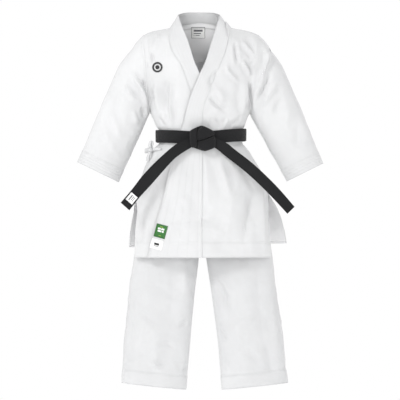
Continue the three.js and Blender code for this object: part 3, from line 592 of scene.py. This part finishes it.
def makeBand():
    u = np.linspace(0, 1, band["columns"])
    profile = 1 - 0.45 * np.abs(2 * u - 1) ** 6
    piece = Piece("collarBand")
    down = spreadRows(2, -844, 7, (-844 + 2.5, -844 + 53, -844 + 56))
    parts = []
    for sign in (-1, 1):
        x, y, z = bandPoints(sign, down, u)
        grid = np.stack([x, y, z], 2)
        normals = gridNormals(grid)
        height = (foldHeight(x, z, frontFolds) * 0.55 + crumple(x, y, z, 1.0, 1.6, 0.35)) * calm(z)
        lift = leftLift(x, z) if sign > 0 else 0 * x
        fade = smooth((2 - z) / 60)
        relief = hemRelief(down + 844, cloth["hemHeight"], (2.5, 53))[:, None] * (z < -700)
        parts.append(grid + normals * (height * fade + lift + 2.2 + 0.6 * relief)[..., None])
    # round the back of the neck
    angle = np.radians(np.linspace(-90, 90, 44))[1:-1, None]
    flare = u[None]
    s, c = np.sin(angle), np.maximum(np.cos(angle), 0) ** 0.8
    x = mix(-4.5 + 108.5 * s, -7.5 + 76.5 * s, flare)
    y = c * mix(88, 85, flare) + 1
    z = mix(mix(21, 3, np.abs(s) ** 2.2), mix(61, 50, np.abs(s) ** 5), flare)
    around = np.stack([x, y, z], 2)
    whole = np.vstack([parts[0][::-1], around, parts[1]])
    for _ in range(2):
        joint = slice(len(down) - 8, len(down) + 50)
        eased = whole.copy()
        eased[1:-1] = 0.25 * whole[:-2] + 0.5 * whole[1:-1] + 0.25 * whole[2:]
        whole[joint] = eased[joint]
    normals = addShell(piece, whole, band["thick"] * profile[None], bandCanvas,
                       outwards=whole * [0, 0, 1] - [0, 0, 1])
    for row in band["rows"]:
        at = row * (band["columns"] - 1)
        low = int(at)
        line = mix(whole[:, low], whole[:, min(low + 1, band["columns"] - 1)], at - low)
        addStitches(piece, line, normals[:, low], thread)
    return piece.make()


armhole = {-1: through([(-318, 187.5), (-222, 197), (-130, 203.5), (-70, 208), (-24, 221)]),
           1: through([(-318, 182), (-222, 194), (-130, 203.5), (-70, 208), (-24, 221)])}


def sideLine(side, sign, z):
    # the outside edge of the body: the armhole, then the side seam, then the slit
    seam = halfWidth[(side, sign)](z)
    reach = mix(1, 0.944, smooth((-600 - z) / 90))
    return sign * np.where(z > -313, armhole[sign](z), seam * reach)


def edgeCalm(x, z, left, right, side):
    # 0 at the seams and 1 away from them; the free edges below the slit move with the folds
    gapLeft, gapRight = np.abs(x - left), np.abs(right - x)
    free = smooth((-600 - z) / 60)
    return smooth(gapLeft / 22) * np.maximum(smooth(gapRight / 26), free * 0.7)


def frontPanel(sign):
    hems = (-844 + 2.5, -844 + 53, -844 + 56)
    vs = spreadRows(0, -844, cloth["step"], hems)
    u = np.linspace(0, 1, cloth["columns"])
    share = np.sin(u * math.pi / 2) * 0.75 + u * 0.25
    drop = vs[:, None]
    outerZ = drop - 26 * (1 - smooth(-drop / 200))
    seamX = bandSeam[sign](drop) - sign * (3 + 9 * (1 - smooth(-drop / 60)))
    x = mix(seamX, sideLine("front", sign, outerZ), share[None])
    z = mix(drop, outerZ, share[None])
    # the top row meets the back along the shoulder
    z = z + (ridge(x) + 26 * share[None]) * (1 - smooth(-drop / 70))
    z = np.minimum(z, ridge(x) - 0.001)
    edge = edgeCalm(x, z, seamX, sideLine("front", sign, outerZ), "front") * smooth(-drop / 30)
    lift = leftLift(x, z) if sign > 0 else 0 * x
    return jacketSurface("front", x, z, lift, edge), vs


def backPanel():
    vs = spreadRows(24, -800, cloth["step"], (-800 + 2.5, -800 + 53, -800 + 56))
    u = np.linspace(-1, 1, cloth["columns"] * 2 - 11)
    share = np.sin(u * math.pi / 2) * 0.75 + u * 0.25
    drop = vs[:, None] + 0 * u[None]
    tilt = 7 * share[None] * smooth((-600 - drop) / 200)
    outerZ = drop - 50 * (1 - smooth((24 - drop) / 230))
    left, right = sideLine("back", -1, outerZ), sideLine("back", 1, outerZ)
    x = np.where(share[None] < 0, -left * share[None], right * share[None])
    z = mix(drop, outerZ, np.abs(share[None]) ** 1.5) + tilt
    neckline = np.where(np.abs(x) < 112, 24 * (1 - (np.abs(x) / 112) ** 2), shoulderLine(np.abs(x)))
    firstZ = 24 - 50 * np.abs(share[None]) ** 1.5
    z = z + (neckline - firstZ) * (1 - smooth((24 - drop) / 80)) * smooth((np.abs(x) - 104) / 12)
    z = np.minimum(z, neckline)
    edge = edgeCalm(x, z, left, right, "back") * smooth((24 - drop) / 30)
    grid = jacketSurface("back", x, z, 0.0, edge)
    # its top row crosses the shoulder line and covers the edge of the front
    grid[0, :, 1] -= 3 * smooth((np.abs(x[0]) - 104) / 12)
    return grid, vs


def hemStitches(piece, grid, vs, bottom, normals, lines):
    for line in lines:
        at = np.interp(-(bottom + line), -vs, np.arange(len(vs)))
        addStitches(piece, rowAt(grid, at), rowAt(normals, at), thread)


panels = {}
for name, sign in (("leftFront", 1), ("rightFront", -1)):
    piece = Piece(name)
    grid, vs = frontPanel(sign)
    relief = hemRelief(vs + 844, cloth["hemHeight"], (2.5, 53))[:, None]
    grid = raised(grid, relief)
    normals = addShell(piece, grid, cloth["thick"] + relief, canvas, inside=innerCanvasPaintedLight)
    hemStitches(piece, grid, vs, -844, normals, (2.5, 53))
    panels[name] = piece.make()
piece = Piece("backPanel")
grid, vs = backPanel()
relief = hemRelief(vs + 800, cloth["hemHeight"], (2.5, 53))[:, None]
grid = raised(grid, relief)
normals = addShell(piece, grid, cloth["thick"] + relief, canvas, inside=innerCanvasPaintedLight)
hemStitches(piece, grid, vs, -800, normals, (2.5, 53))
panels["backPanel"] = piece.make()
panels["collarBand"] = makeBand()
print("jacket panels ready")


piece = Piece("yokeLining")
u = np.linspace(-132, 132, 40)[None]
v = np.linspace(0, 1, 26)[:, None]
top = np.where(np.abs(u) < 112, 18 * (1 - (np.abs(u) / 112) ** 2), shoulderLine(np.abs(u))) - 14
z = mix(top, -123, v)
x = u + 0 * v
grid = jacketSurface("back", x, z, -3.2, 1.0)
normals = addShell(piece, grid, 1.6, innerCanvasPaintedLight)
addStitches(piece, grid[-2] - [0, 1.8, 0], -normals[-2], thread)
yokeLining = piece.make()

labelSize = {"width": 51, "height": 40, "left": -36, "top": 7}


def flatPatch(name, place, parts):
    # place gives points for arrays in millimetres from the middle of the patch
    # each part is an outline box, a lift, a thickness and a material
    piece = Piece(name)
    for (left, right, bottom, top), lift, thick, material in parts:
        us, vs = np.linspace(left, right, 7), np.linspace(top, bottom, 7)
        grid = place(us[None] + 0 * vs[:, None], vs[:, None] + 0 * us[None], lift)
        addShell(piece, grid, thick, material)
    return piece.make()


def neckPlace(a, b, lift):
    x = a + labelSize["left"] + labelSize["width"] / 2
    z = b + labelSize["top"] - labelSize["height"] / 2
    return jacketSurface("back", x, z, -5.0 - lift, 1.0)


w, h = labelSize["width"] / 2, labelSize["height"] / 2
neckLabel = flatPatch("neckLabel", neckPlace, [
    ((-w, w, -h, h), 0, 0.8, labelPrint), ((-w + 1.2, w - 1.2, -h + 1.2, h - 1.2), 0.5, 0.8, labelSatin),
    ((-w + 9, w - 9, 4, 11), 0.9, 0.6, labelPrint), ((-w + 9, w - 15, -4, -1), 0.9, 0.6, labelPrint),
    ((-w + 9, w - 20, -11, -9), 0.9, 0.6, labelPrint)])


cuffStitch = (3, 13, 23, 33, 43, 47)


def makeSleeve(name, sign):
    outerEnd, innerEnd = (459, 463) if sign < 0 else (461, 466)
    cap = [(0, pivot[0] + capRadius(a) * math.cos(math.radians(a)), pivot[1] + capRadius(a) * math.sin(math.radians(a)))
           for a in np.linspace(77, 25, 12)]
    outer = [(p[1], p[2]) for p in cap]
    outer += [fromSleeve(a, sleeve[sign]["outer"](a)) for a in np.linspace(6, outerEnd, 60)]
    inner = [fromSleeve(a, sleeve[sign]["inner"](a)) for a in np.linspace(186 if sign < 0 else 184, innerEnd, 60)]
    marks = [1 - m / 280 for m in cuffStitch]
    t = np.unique(np.r_[np.linspace(0, 1, 84), [m + d / 280 for m in marks for d in (-1.2, 0, 1.2)], 1 - 50 / 280])
    t = t[(t >= 0) & (t <= 1)]
    # the rows fan out at the shoulder, and run square across at the cuff
    outerLine, innerLine = resample(outer, 400), resample(inner, 400)
    outerLength = np.sum(np.linalg.norm(np.diff(outerLine, axis=0), axis=1))
    innerLength = np.sum(np.linalg.norm(np.diff(innerLine, axis=0), axis=1))
    outerAt = 1 - (1 - t) * np.where((1 - t) * innerLength < 120, innerLength / outerLength,
                                     mix(innerLength / outerLength, 1,
                                         smooth(((1 - t) * innerLength - 120) / (innerLength - 120))))
    a = np.stack([np.interp(outerAt, np.linspace(0, 1, 400), outerLine[:, k]) for k in (0, 1)], 1)
    b = np.stack([np.interp(t, np.linspace(0, 1, 400), innerLine[:, k]) for k in (0, 1)], 1)
    phi = np.linspace(0, 2 * math.pi, 97)[:-1]
    share = (1 + np.cos(phi)) / 2
    x = sign * (b[:, :1] + (a - b)[:, :1] * share[None])
    z = b[:, 1:] + (a - b)[:, 1:] * share[None]
    front = np.sin(phi)[None] > 0
    y = np.where(front, -bodyDepth("front", x, z), bodyDepth("back", x, z))
    y = np.where(front, -1.0, 1.0) * np.maximum(np.abs(y), 0.5 * (np.abs(np.sin(phi))[None]))
    grid = np.stack([x, y, z], 2)
    middle = np.stack([grid[..., 0].mean(1), 0 * t, grid[..., 2].mean(1)], 1)[:, None]
    normals = gridNormals(grid, True, middle)
    folds = np.where(front, foldHeight(x, z, frontFolds), foldHeight(x, z, backFolds))
    height = folds + crumple(x, y, z, np.float64(1.0), 2.6, 0.7)
    edge = smooth(t / 0.06)[:, None] * mix(1, 0.45, smooth((t - 0.72) / 0.16))[:, None]
    edge = edge * mix(0.55, 1, clamp(np.abs(np.sin(phi)) * 2))[None]
    grid = grid + normals * (height * edge)[..., None]
    fromCuff = (1 - t) * innerLength
    relief = hemRelief(fromCuff, 48, cuffStitch, 0.7)[:, None]
    grid = raised(grid, relief, True, middle)
    piece = Piece(name)
    normals = addShell(piece, grid, cloth["thick"] + relief, canvas, ring=True, outwards=middle, inside=innerCanvasPaintedLight)
    for line in cuffStitch:
        at = np.interp(-line, -fromCuff, np.arange(len(t)))
        row, up = rowAt(grid, at), rowAt(normals, at)
        addStitches(piece, np.vstack([row, row[:1]]), np.vstack([up, up[:1]]), thread)
    for offset in (1.5, 7):
        at = np.interp(offset, t * innerLength, np.arange(len(t)))
        addStitches(piece, rowAt(grid, at), rowAt(normals, at), thread)
    return piece.make()


rightSleeve = makeSleeve("rightSleeve", -1)
leftSleeve = makeSleeve("leftSleeve", 1)
print("sleeves ready")


legOuter = {-1: through([(-1330, -292), (-1297, -290), (-1252, -284), (-1164, -280), (-1076, -269), (-965, -262),
                         (-855, -247), (-722, -238), (-634, -218), (-560, -192), (-480, -163),
                         (-416, -134), (-372, -128)]),
            1: through([(-1330, 319), (-1297, 316), (-1252, 310), (-1164, 302), (-1076, 291), (-965, 276), (-855, 263),
                        (-722, 246), (-634, 220), (-560, 194), (-480, 163), (-416, 134), (-372, 128)])}
legInner = {-1: through([(-1335, -55), (-1252, -48), (-1164, -40), (-1076, -33), (-965, -22), (-855, -9),
                         (-722, -1.5)]),
            1: through([(-1335, 77), (-1252, 70), (-1164, 63), (-1076, 52), (-965, 37), (-855, 20), (-722, 1.5)])}
hipDepth = through([(-1335, 57), (-855, 57), (-722, 66), (-600, 80), (-416, 73), (-372, 70)])
trousers = {"hemOut": -1306, "hemIn": -1331, "hemHeight": 50, "band": -372}


def makeLeg(name, sign):
    phi = np.linspace(math.pi, -math.pi, 105)
    marks = (2.5, 47, 50)
    rows = spreadRows(trousers["band"], trousers["hemIn"], 6.5, [trousers["hemIn"] + m for m in marks])
    level = rows[:, None] + 0 * phi[None]
    inner, outer = legInner[sign](level), legOuter[sign](level)
    legX = mix(inner, outer, (1 + np.cos(phi[None])) / 2)
    legY = -hipDepth(level) * np.sin(phi[None]) * 0.98
    # above the crotch, half of the oval round the hips
    quarter = -(phi[None] / 2)
    hipX = outer * np.maximum(np.cos(quarter), 0) ** 0.9
    hipX = np.where(np.abs(hipX) < 0.6, sign * 0.6, hipX)
    hipY = hipDepth(level) * np.sin(quarter)
    part = smooth((-640 - level) / 82)
    x, y = mix(hipX, legX, part), mix(hipY, legY, part)
    share = clamp((x - inner) / (outer - inner))
    z = level + (trousers["hemOut"] - trousers["hemIn"]) * share * smooth((-855 - level) / 400)
    grid = np.stack([x, y, z], 2)
    middle = np.stack([x.mean(1), 0 * rows, z.mean(1)], 1)[:, None]
    normals = gridNormals(grid, False, middle)
    height = np.where(y < 0, foldHeight(x, z, legFolds, 1.15), foldHeight(-x, z, legFolds, 1.15))
    height = height + crumple(x, y, z, np.float64(9.0), 3.4, 0.9)
    height = height + 3.0 * wobble(x, y, z * 0.12, 30, 5.5, 1) * smooth((level + 480) / 60)
    edge = mix(1, 0.4, smooth((-1270 - level) / 20)) * smooth((np.pi - np.abs(phi))[None] / 0.25)
    edge = edge * smooth((trousers["band"] - 30 - level) / 30)
    grid = grid + normals * (height * edge)[..., None]
    relief = hemRelief(rows - trousers["hemIn"], trousers["hemHeight"], (2.5, 47))[:, None]
    grid = raised(grid, relief, False, middle)
    piece = Piece(name)
    normals = addShell(piece, grid, cloth["thick"] + relief, legCanvas, outwards=middle, inside=innerCanvasPaintedLight)
    for line in (2.5, 47):
        at = np.interp(-(trousers["hemIn"] + line), -rows, np.arange(len(rows)))
        addStitches(piece, rowAt(grid, at), rowAt(normals, at), thread)
    return piece.make()


rightLeg = makeLeg("rightTrouserLeg", -1)
leftLeg = makeLeg("leftTrouserLeg", 1)


def ringPiece(name, halfX, front, back, top, bottom, thick, material, ribs=0.0, power=2.0, count=160):
    piece = Piece(name)
    phi = np.linspace(0, 2 * math.pi, count + 1)[:-1][None]
    zs = np.linspace(top, bottom, 12)[:, None]
    c, s = np.cos(phi), np.sin(phi)
    x = halfX * np.sign(c) * np.abs(c) ** (2 / power) + 0 * zs
    y = np.where(s < 0, front, back) * np.sign(s) * np.abs(s) ** (2 / power) + 0 * zs
    grid = np.stack([x, y, zs + 0 * phi], 2)
    middle = np.stack([0 * zs, 0 * zs, zs], 2)
    if ribs:
        normals = gridNormals(grid, True, middle)
        grid = grid + normals * (ribs * np.sin(phi * 56) + ribs * wobble(x, y, 0 * x, 30, 2))[..., None]
    addShell(piece, grid, thick, material, ring=True, outwards=middle)
    return piece.make()


waistband = ringPiece("trouserWaistband", 131, 74, 74, -371, -415, 3.2, canvas, 1.3)
drawstring = ringPiece("waistDrawstring", 124, 67, 67, -391, -397, 4.0, cordCotton)
print("trousers ready")


belt = {"width": 45, "thick": 3.2, "outer": 12.5, "inner": 8.9, "middle": -402}


def beltRing(name, grow, droop):
    piece = Piece(name)
    phi = np.linspace(0, 2 * math.pi, 241)[:-1][None]
    vs = np.linspace(0.5, -0.5, 22)[:, None]
    c, s = np.cos(phi), np.sin(phi)
    power = 2 / body["round"]
    side = 163 + grow - belt["inner"]
    front, back = 92 + grow + 1.5, 96 + grow - belt["inner"] + 5
    x = side * np.sign(c) * np.abs(c) ** power
    y = np.where(s < 0, front, back) * np.sign(s) * np.abs(s) ** power
    # it sags to the knot, and sits a little higher at the wearer's left
    sag = -9 * np.exp(-(x / 95) ** 2) * (s < 0) + 0.0155 * x
    z = belt["middle"] + 5.5 + droop + sag + vs * belt["width"]
    crown = 0.9 * (1 - (2 * vs) ** 8)
    grid = np.stack([x + 0 * vs, y + 0 * vs, z + 0 * x], 2)
    middle = np.stack([0 * vs, 0 * vs, belt["middle"] + 0 * vs], 2)
    normals = gridNormals(grid, True, middle)
    wave = 0.8 * wobble(x + 0 * vs, y + 0 * vs, z, 46, 8.0)
    grid = grid + normals * (crown + wave)[..., None]
    addShell(piece, grid, belt["thick"], beltCotton, ring=True, outwards=middle)
    return piece.make()


beltInner = beltRing("beltInnerTurn", belt["inner"], -1.2)
beltOuter = beltRing("beltOuterTurn", belt["outer"], 0.6)


def soften(outline):
    # the corners stay tight, and are only just rounded
    outline = np.array(outline, float)
    for share in (0.13, 0.25, 0.25):
        following = np.roll(outline, -1, 0)
        outline = np.stack([mix(outline, following, share), mix(following, outline, share)], 1).reshape(-1, 2)
    return outline


def addPad(piece, outline, back, front, material, tilt=(0.0, 0.0), puff=0.5, ribAngle=0.0):
    # a puffed fold of the belt: a rounded outline in the front view, closed front and back
    outline = soften(outline)
    outline = resample(np.vstack([outline, outline[:1]]), 65)[:-1]
    centre = outline.mean(0)
    levels = np.array([0.0, 0.25, 0.5, 0.7, 0.84, 0.93, 0.98, 1.0])
    rise = (1 - levels ** 4) ** puff
    ca, sa = math.cos(ribAngle), math.sin(ribAngle)
    verts, faces, uvs = [], [], []
    for side in (1, -1):
        for level, up in zip(levels, rise):
            for p in outline:
                q = centre + (p - centre) * level
                lean = tilt[0] * (q[0] - centre[0]) + tilt[1] * (q[1] - centre[1])
                y = mix((front + back) / 2, front if side > 0 else back, up) + lean
                verts.append((q[0], y, q[1]))
                uvs.append((q[0] * ca + q[1] * sa, -q[0] * sa + q[1] * ca))
    n, m = len(outline), len(levels)
    for side in (0, 1):
        for i in range(m - 1):
            for k in range(n):
                a = side * n * m + i * n + k
                b = side * n * m + i * n + (k + 1) % n
                face = (a, b, b + n, a + n)
                faces.append(face if side else face[::-1])
    # the two rims share a place, so a thin strip closes them
    for k in range(n):
        a, b = (m - 1) * n + k, (m - 1) * n + (k + 1) % n
        faces.append((a, b, b + n * m, a + n * m))
    piece.add(verts, faces, material, uvs)


knotFace = -(92 + 12.5 + 4)
piece = Piece("beltKnot")
addPad(piece, [(3, -359), (48, -381), (53, -443), (12, -456), (-34, -441), (-41, -379)], knotFace + 3, knotFace - 15,
       knotCotton, puff=0.35, ribAngle=0.4)
addPad(piece, [(-42, -380), (-14, -366), (-14, -440), (-34, -444), (-41, -420)], knotFace - 3, knotFace - 24,
       knotCotton, tilt=(-0.12, 0), puff=0.4, ribAngle=math.pi / 2)
addPad(piece, [(-15, -418), (-13, -380), (6, -362), (49, -382), (50, -396), (10, -412)], knotFace - 3, knotFace - 27,
       knotCotton, tilt=(0.05, -0.1), puff=0.42, ribAngle=0.5)
addPad(piece, [(-14, -420), (12, -414), (52, -398), (55, -442), (14, -457), (-12, -444)], knotFace - 3, knotFace - 25,
       knotCotton, tilt=(0.0, 0.15), puff=0.42, ribAngle=0.35)
beltKnot = piece.make()


def makeTail(name, upper, lower, roots, tips, twist):
    # upper and lower are the tail's two edges in the front view; roots and tips are its distances in front
    piece = Piece(name)
    a, b = resample(rounded(upper, 3), 90), resample(rounded(lower, 3), 90)
    t = np.linspace(0, 1, 90)[:, None]
    u = np.linspace(0, 1, 22)[None]
    x = a[:, :1] + (b - a)[:, :1] * u
    z = a[:, 1:] + (b - a)[:, 1:] * u
    y = mix(roots, tips, t ** 0.85) + twist * (u - 0.5) * np.sin(t * math.pi) - 3.5 * np.sin(t * math.pi * 1.7)
    y = y + 0 * u - 0.9 * (1 - np.abs(2 * u - 1) ** 8)
    grid = np.stack([x, y, z], 2)
    addShell(piece, grid, belt["thick"], beltCotton, outwards=grid + [0, 50, 0], swapUv=True)
    return piece.make(), grid


rightTail, rightTailGrid = makeTail(
    "rightBeltTail", [(-40, -404), (-70, -418), (-93, -429), (-155, -483), (-211, -540), (-253, -597),
                      (-293, -643)],
    [(-8, -425), (-35, -441), (-87, -473), (-118, -504), (-180, -576), (-224, -623), (-261, -671)], -114, -146, 9)
leftTail, _ = makeTail(
    "leftBeltTail", [(44, -398), (70, -414), (97, -426), (120, -447), (182, -493), (233, -540), (285, -592),
                     (341, -658)],
    [(16, -424), (36, -436), (57, -446), (94, -478), (161, -529), (212, -576), (259, -623),
     (315, -684)], -114, -146, -9)


def tailPlace(a, b, lift):
    # the label near the end of the wearer's right tail
    rows = rightTailGrid.shape[0] - 1
    length = np.sum(np.linalg.norm(np.diff(rightTailGrid[:, 11], axis=0), axis=1))
    row = (1 - (20 + 18 - a) / length) * rows
    column = (0.5 - b / belt["width"]) * (rightTailGrid.shape[1] - 1)
    r0, c0 = np.floor(row).astype(int), np.clip(np.floor(column).astype(int), 0, rightTailGrid.shape[1] - 2)
    r0 = np.clip(r0, 0, rows - 1)
    fr, fc = (row - r0)[..., None], (column - c0)[..., None]
    g = rightTailGrid
    p = mix(mix(g[r0, c0], g[r0, c0 + 1], fc), mix(g[r0 + 1, c0], g[r0 + 1, c0 + 1], fc), fr)
    return p + [0, -1.4 - lift, 0]


beltLabel = flatPatch("beltLabel", tailPlace, [
    ((-18, 18, -18, 18), 0, 0.8, labelPrint), ((-16.6, 16.6, -16.6, 16.6), 0.5, 0.8, labelSatin),
    ((-11, 11, 3, 8), 0.9, 0.6, labelPrint), ((-11, 6, -4, -1), 0.9, 0.6, labelPrint),
    ((-11, 9, -10, -8), 0.9, 0.6, labelPrint)])
print("belt ready")


def onFront(centreX, centreZ, tilt, base):
    c, s = math.cos(math.radians(tilt)), math.sin(math.radians(tilt))

    def place(a, b, lift):
        x, z = centreX + a * c - b * s, centreZ + a * s + b * c
        y = -bodyDepth("front", x, z) - 0.6
        height = (foldHeight(x, z, frontFolds) * 0.55 + crumple(x, y, z, 1.0, 1.6, 0.35)) * calm(z)
        grid = np.stack([x, y, z], 2)
        return grid + gridNormals(grid) * (height + base + lift)[..., None]
    return place


onBand = overlap + 2.2 + 1.2
hemPatch = flatPatch("hemPatch", onFront(-145, -748, -15, onBand), [
    ((-20.5, 20.5, -24.5, 24.5), 0, 1.2, patchTwill), ((-18.7, 18.7, -22.7, 22.7), 0.6, 0.9, patchTwill),
    ((-6, 5, 14.5, 17.5), 1.0, 0.8, patchBorder), ((-12, -2, 5, 11.5), 1.0, 0.8, labelSatin),
    ((0, 11, 5, 11.5), 1.0, 0.8, labelSatin), ((-11, 3, -3.5, 2.5), 1.0, 0.8, labelSatin),
    ((5, 11, -3.5, 2.5), 1.0, 0.8, labelSatin), ((-4, 6, -17.5, -15.5), 1.0, 0.8, patchBorder)])
hemLabel = flatPatch("hemLabel", onFront(-160, -796, -15, onBand), [
    ((-22, 22, -18, 18), 0, 0.8, labelSatin), ((-9, 9, -3, 5), 0.6, 0.6, blackThread),
    ((-9, 9, -8, -6), 0.6, 0.6, labelPrint)])

piece = Piece("chestEmblem")
emblem = {"x": -160, "z": -147, "radius": 19}
angle = np.linspace(0, 2 * math.pi, 73)[:-1][None]
for outer, inner, start, end in ((1.0, 0.66, 0.0, 1.0), (0.4, 0.02, 0.0, 1.0)):
    radius = emblem["radius"] * np.linspace(outer, inner, 6)[:, None]
    x, z = emblem["x"] + radius * np.cos(angle), emblem["z"] + radius * np.sin(angle)
    y = -bodyDepth("front", x, z) - 0.6
    height = (foldHeight(x, z, frontFolds) + crumple(x, y, z, 1.0)) * calm(z)
    grid = np.stack([x, y - height - 1.5 - 0.5 * np.sin(np.linspace(0, math.pi, 6))[:, None], z], 2)
    addShell(piece, grid, 1.2, blackThread, ring=True, outwards=grid + [0, 50, 0])
chestEmblem = piece.make()


def tape(name, paths, width, thick, material):
    # each path comes with the direction across its tape
    piece = Piece(name)
    for across, path in paths:
        line = resample(rounded(path, 3), 40)
        u = np.linspace(-0.5, 0.5, 7)
        grid = line[:, None] + np.array(across, float)[None, None] * (u * width)[None, :, None]
        addShell(piece, grid, thick, material, outwards=line.mean(0)[None, None] + 0 * grid)
    return piece.make()


sideTie = tape("sideTieBow", [
    ((0.8, -0.6, 0.1), [(-185, -38, -447), (-190, -40, -436), (-188, -39, -420), (-182, -38, -414), (-178, -37, -424),
                        (-181, -37, -440), (-184, -37, -447)]),
    ((0.1, -0.5, 0.85), [(-186, -38, -450), (-196, -41, -446), (-208, -40, -450), (-206, -37, -458), (-195, -36, -457),
                         (-186, -37, -451)]),
    ((0.9, -0.4, 0.2), [(-186, -38, -450), (-191, -41, -462), (-197, -42, -478), (-196, -41, -490)]),
    ((0.9, -0.4, 0.2), [(-184, -36, -450), (-185, -38, -464), (-188, -40, -482)]),
    ((0.1, -0.3, 0.95), [(-148, -66, -446), (-166, -52, -446), (-184, -37, -448)])], 11, 1.8, canvas)
piece = Piece("sideTieKnot")
addPad(piece, [(-192, -441), (-179, -441), (-178, -456), (-192, -456)], -32, -48, canvas, puff=0.45)
sideTieKnot = piece.make()
innerTie = tape("innerTieStrap", [((0, 0, 1), [(74, -84, -384), (100, -74, -384), (124, -58, -385), (138, -44, -386)])],
                12, 1.6, innerCanvasPaintedLight)
piece = Piece("innerTieKnot")
addPad(piece, [(108, -376), (122, -377), (123, -391), (107, -390)], -44, -56, innerCanvasPaintedLight, puff=0.45)
innerTieKnot = piece.make()


for obj, nodes, other, start, end in (
    (panels["leftFront"], ("left_front_panel", "left_front_skirt", "left_front_hem"), "front_flap",
     (0, 0, -0.575), (0, 0, -0.665)),
    (panels["rightFront"], ("right_front_panel", "right_front_skirt", "right_front_hem"), "front_flap",
     (0, 0, -0.575), (0, 0, -0.665)),
    (panels["collarBand"], ("left_lapel", "right_lapel", "back_collar", "left_skirt_band", "right_skirt_band"),
     "front_flap", (0, 0, -0.575), (0, 0, -0.665)),
    (panels["backPanel"], ("left_back_panel", "right_back_panel", "back_skirt", "back_hem"), "back_flap",
     (0, 0, -0.575), (0, 0, -0.665)),
    (leftSleeve, ("left_sleeve", "left_cuff"), "left_arm", (0.20, 0, -0.11), (0.30, 0, -0.11)),
    (rightSleeve, ("right_sleeve", "right_cuff"), "right_arm", (-0.20, 0, -0.11), (-0.30, 0, -0.11)),
):
    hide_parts(*nodes)
    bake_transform(obj)
for obj, nodes, other, start, end in (
    (leftLeg, ("left_front_seat", "left_back_seat", "left_leg", "left_leg_hem", "crotch_gusset"), "left_leg_tube",
     (0.12, 0, -0.60), (0.14, 0, -0.80)),
    (rightLeg, ("right_front_seat", "right_back_seat", "right_leg", "right_leg_hem"), "right_leg_tube",
     (-0.12, 0, -0.60), (-0.14, 0, -0.80)),
):
    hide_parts(*nodes)
    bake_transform(obj)
for obj, nodes, other, side in (
    (leftTail, ("left_belt_tail",), "left_tail", 1), (rightTail, ("right_belt_tail",), "right_tail", -1),
):
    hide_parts(*nodes)
    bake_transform(obj)
for obj, nodes, bodyName in (
    (yokeLining, ("back_yoke_lining",), "jacket"), (neckLabel, ("neck_label",), "jacket"),
    (chestEmblem, ("chest_emblem",), "jacket"), (beltInner, ("belt_inner_turn",), "jacket"),
    (beltOuter, ("belt_outer_turn",), "jacket"), (beltKnot, ("belt_knot", "belt_knot_wrap"), "jacket"),
    (sideTie, ("side_tie_loop_upper", "side_tie_loop_lower", "side_tie_end_front"), "jacket"),
    (sideTieKnot, ("side_tie_knot",), "jacket"), (innerTie, ("inner_tie_strap",), "jacket"),
    (innerTieKnot, ("inner_tie_knot",), "jacket"), (hemPatch, ("hem_patch",), "front_flap"),
    (hemLabel, ("hem_label",), "front_flap"), (beltLabel, ("belt_label",), "right_tail"),
    (waistband, ("trouser_waistband",), "trousers"), (drawstring, ("drawstring",), "trousers"),
):
    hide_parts(*nodes)
    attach(obj, bodyName)


view = {"distance": 14.0, "width": 1.4736, "height": -0.6336, "side": -0.0037}
floorMesh = bpy.data.meshes.new("floor")
floorMesh.from_pydata([(-9, -9, -1.9), (9, -9, -1.9), (9, 9, -1.9), (-9, 9, -1.9)], [], [(0, 1, 2, 3)])
floor = bpy.data.objects.new("floor", floorMesh)
bpy.context.scene.collection.objects.link(floor)
floorMaterial, _, floorShader = newMaterial("paleFloor")
floorShader.inputs["Base Color"].default_value = (0.95, 0.95, 0.95, 1)
floorShader.inputs["Roughness"].default_value = 0.9
floorShader.inputs["Specular IOR Level"].default_value = 0.0
floorShader.inputs["Emission Color"].default_value = (1, 1, 1, 1)
floorShader.inputs["Emission Strength"].default_value = 0.35
floorMesh.materials.append(floorMaterial)

world = bpy.data.worlds.new("studio")
world.use_nodes = True
world.node_tree.nodes["Background"].inputs["Color"].default_value = (1, 1, 1, 1)
world.node_tree.nodes["Background"].inputs["Strength"].default_value = 1.0
bpy.context.scene.world = world
bpy.context.scene.view_settings.view_transform = "Standard"


def areaLight(name, place, target, size, power):
    light = bpy.data.lights.new(name, "AREA")
    light.shape = "DISK"
    light.size = size
    light.energy = power
    obj = bpy.data.objects.new(name, light)
    obj.location = place
    obj.rotation_euler = (Vector(target) - Vector(place)).to_track_quat("-Z", "Y").to_euler()
    bpy.context.scene.collection.objects.link(obj)


areaLight("keyLight", (-2.5, -3.3, 2.3), (0, 0, -0.6), 1.3, 85)
areaLight("fillLight", (0.6, -5.0, 0.3), (0, 0, -0.6), 1.2, 26)
areaLight("backLight", (2.2, 4.2, 1.8), (0, 0, -0.6), 1.6, 75)

camera = bpy.data.objects.new("camera", bpy.data.cameras.new("camera"))
camera.data.sensor_width = 36
camera.data.lens = 36 * view["distance"] / view["width"]
camera.data.clip_end = 60
camera.location = (view["side"], -view["distance"], view["height"])
camera.rotation_euler = (math.pi / 2, 0, 0)
bpy.context.scene.collection.objects.link(camera)
bpy.context.scene.camera = camera
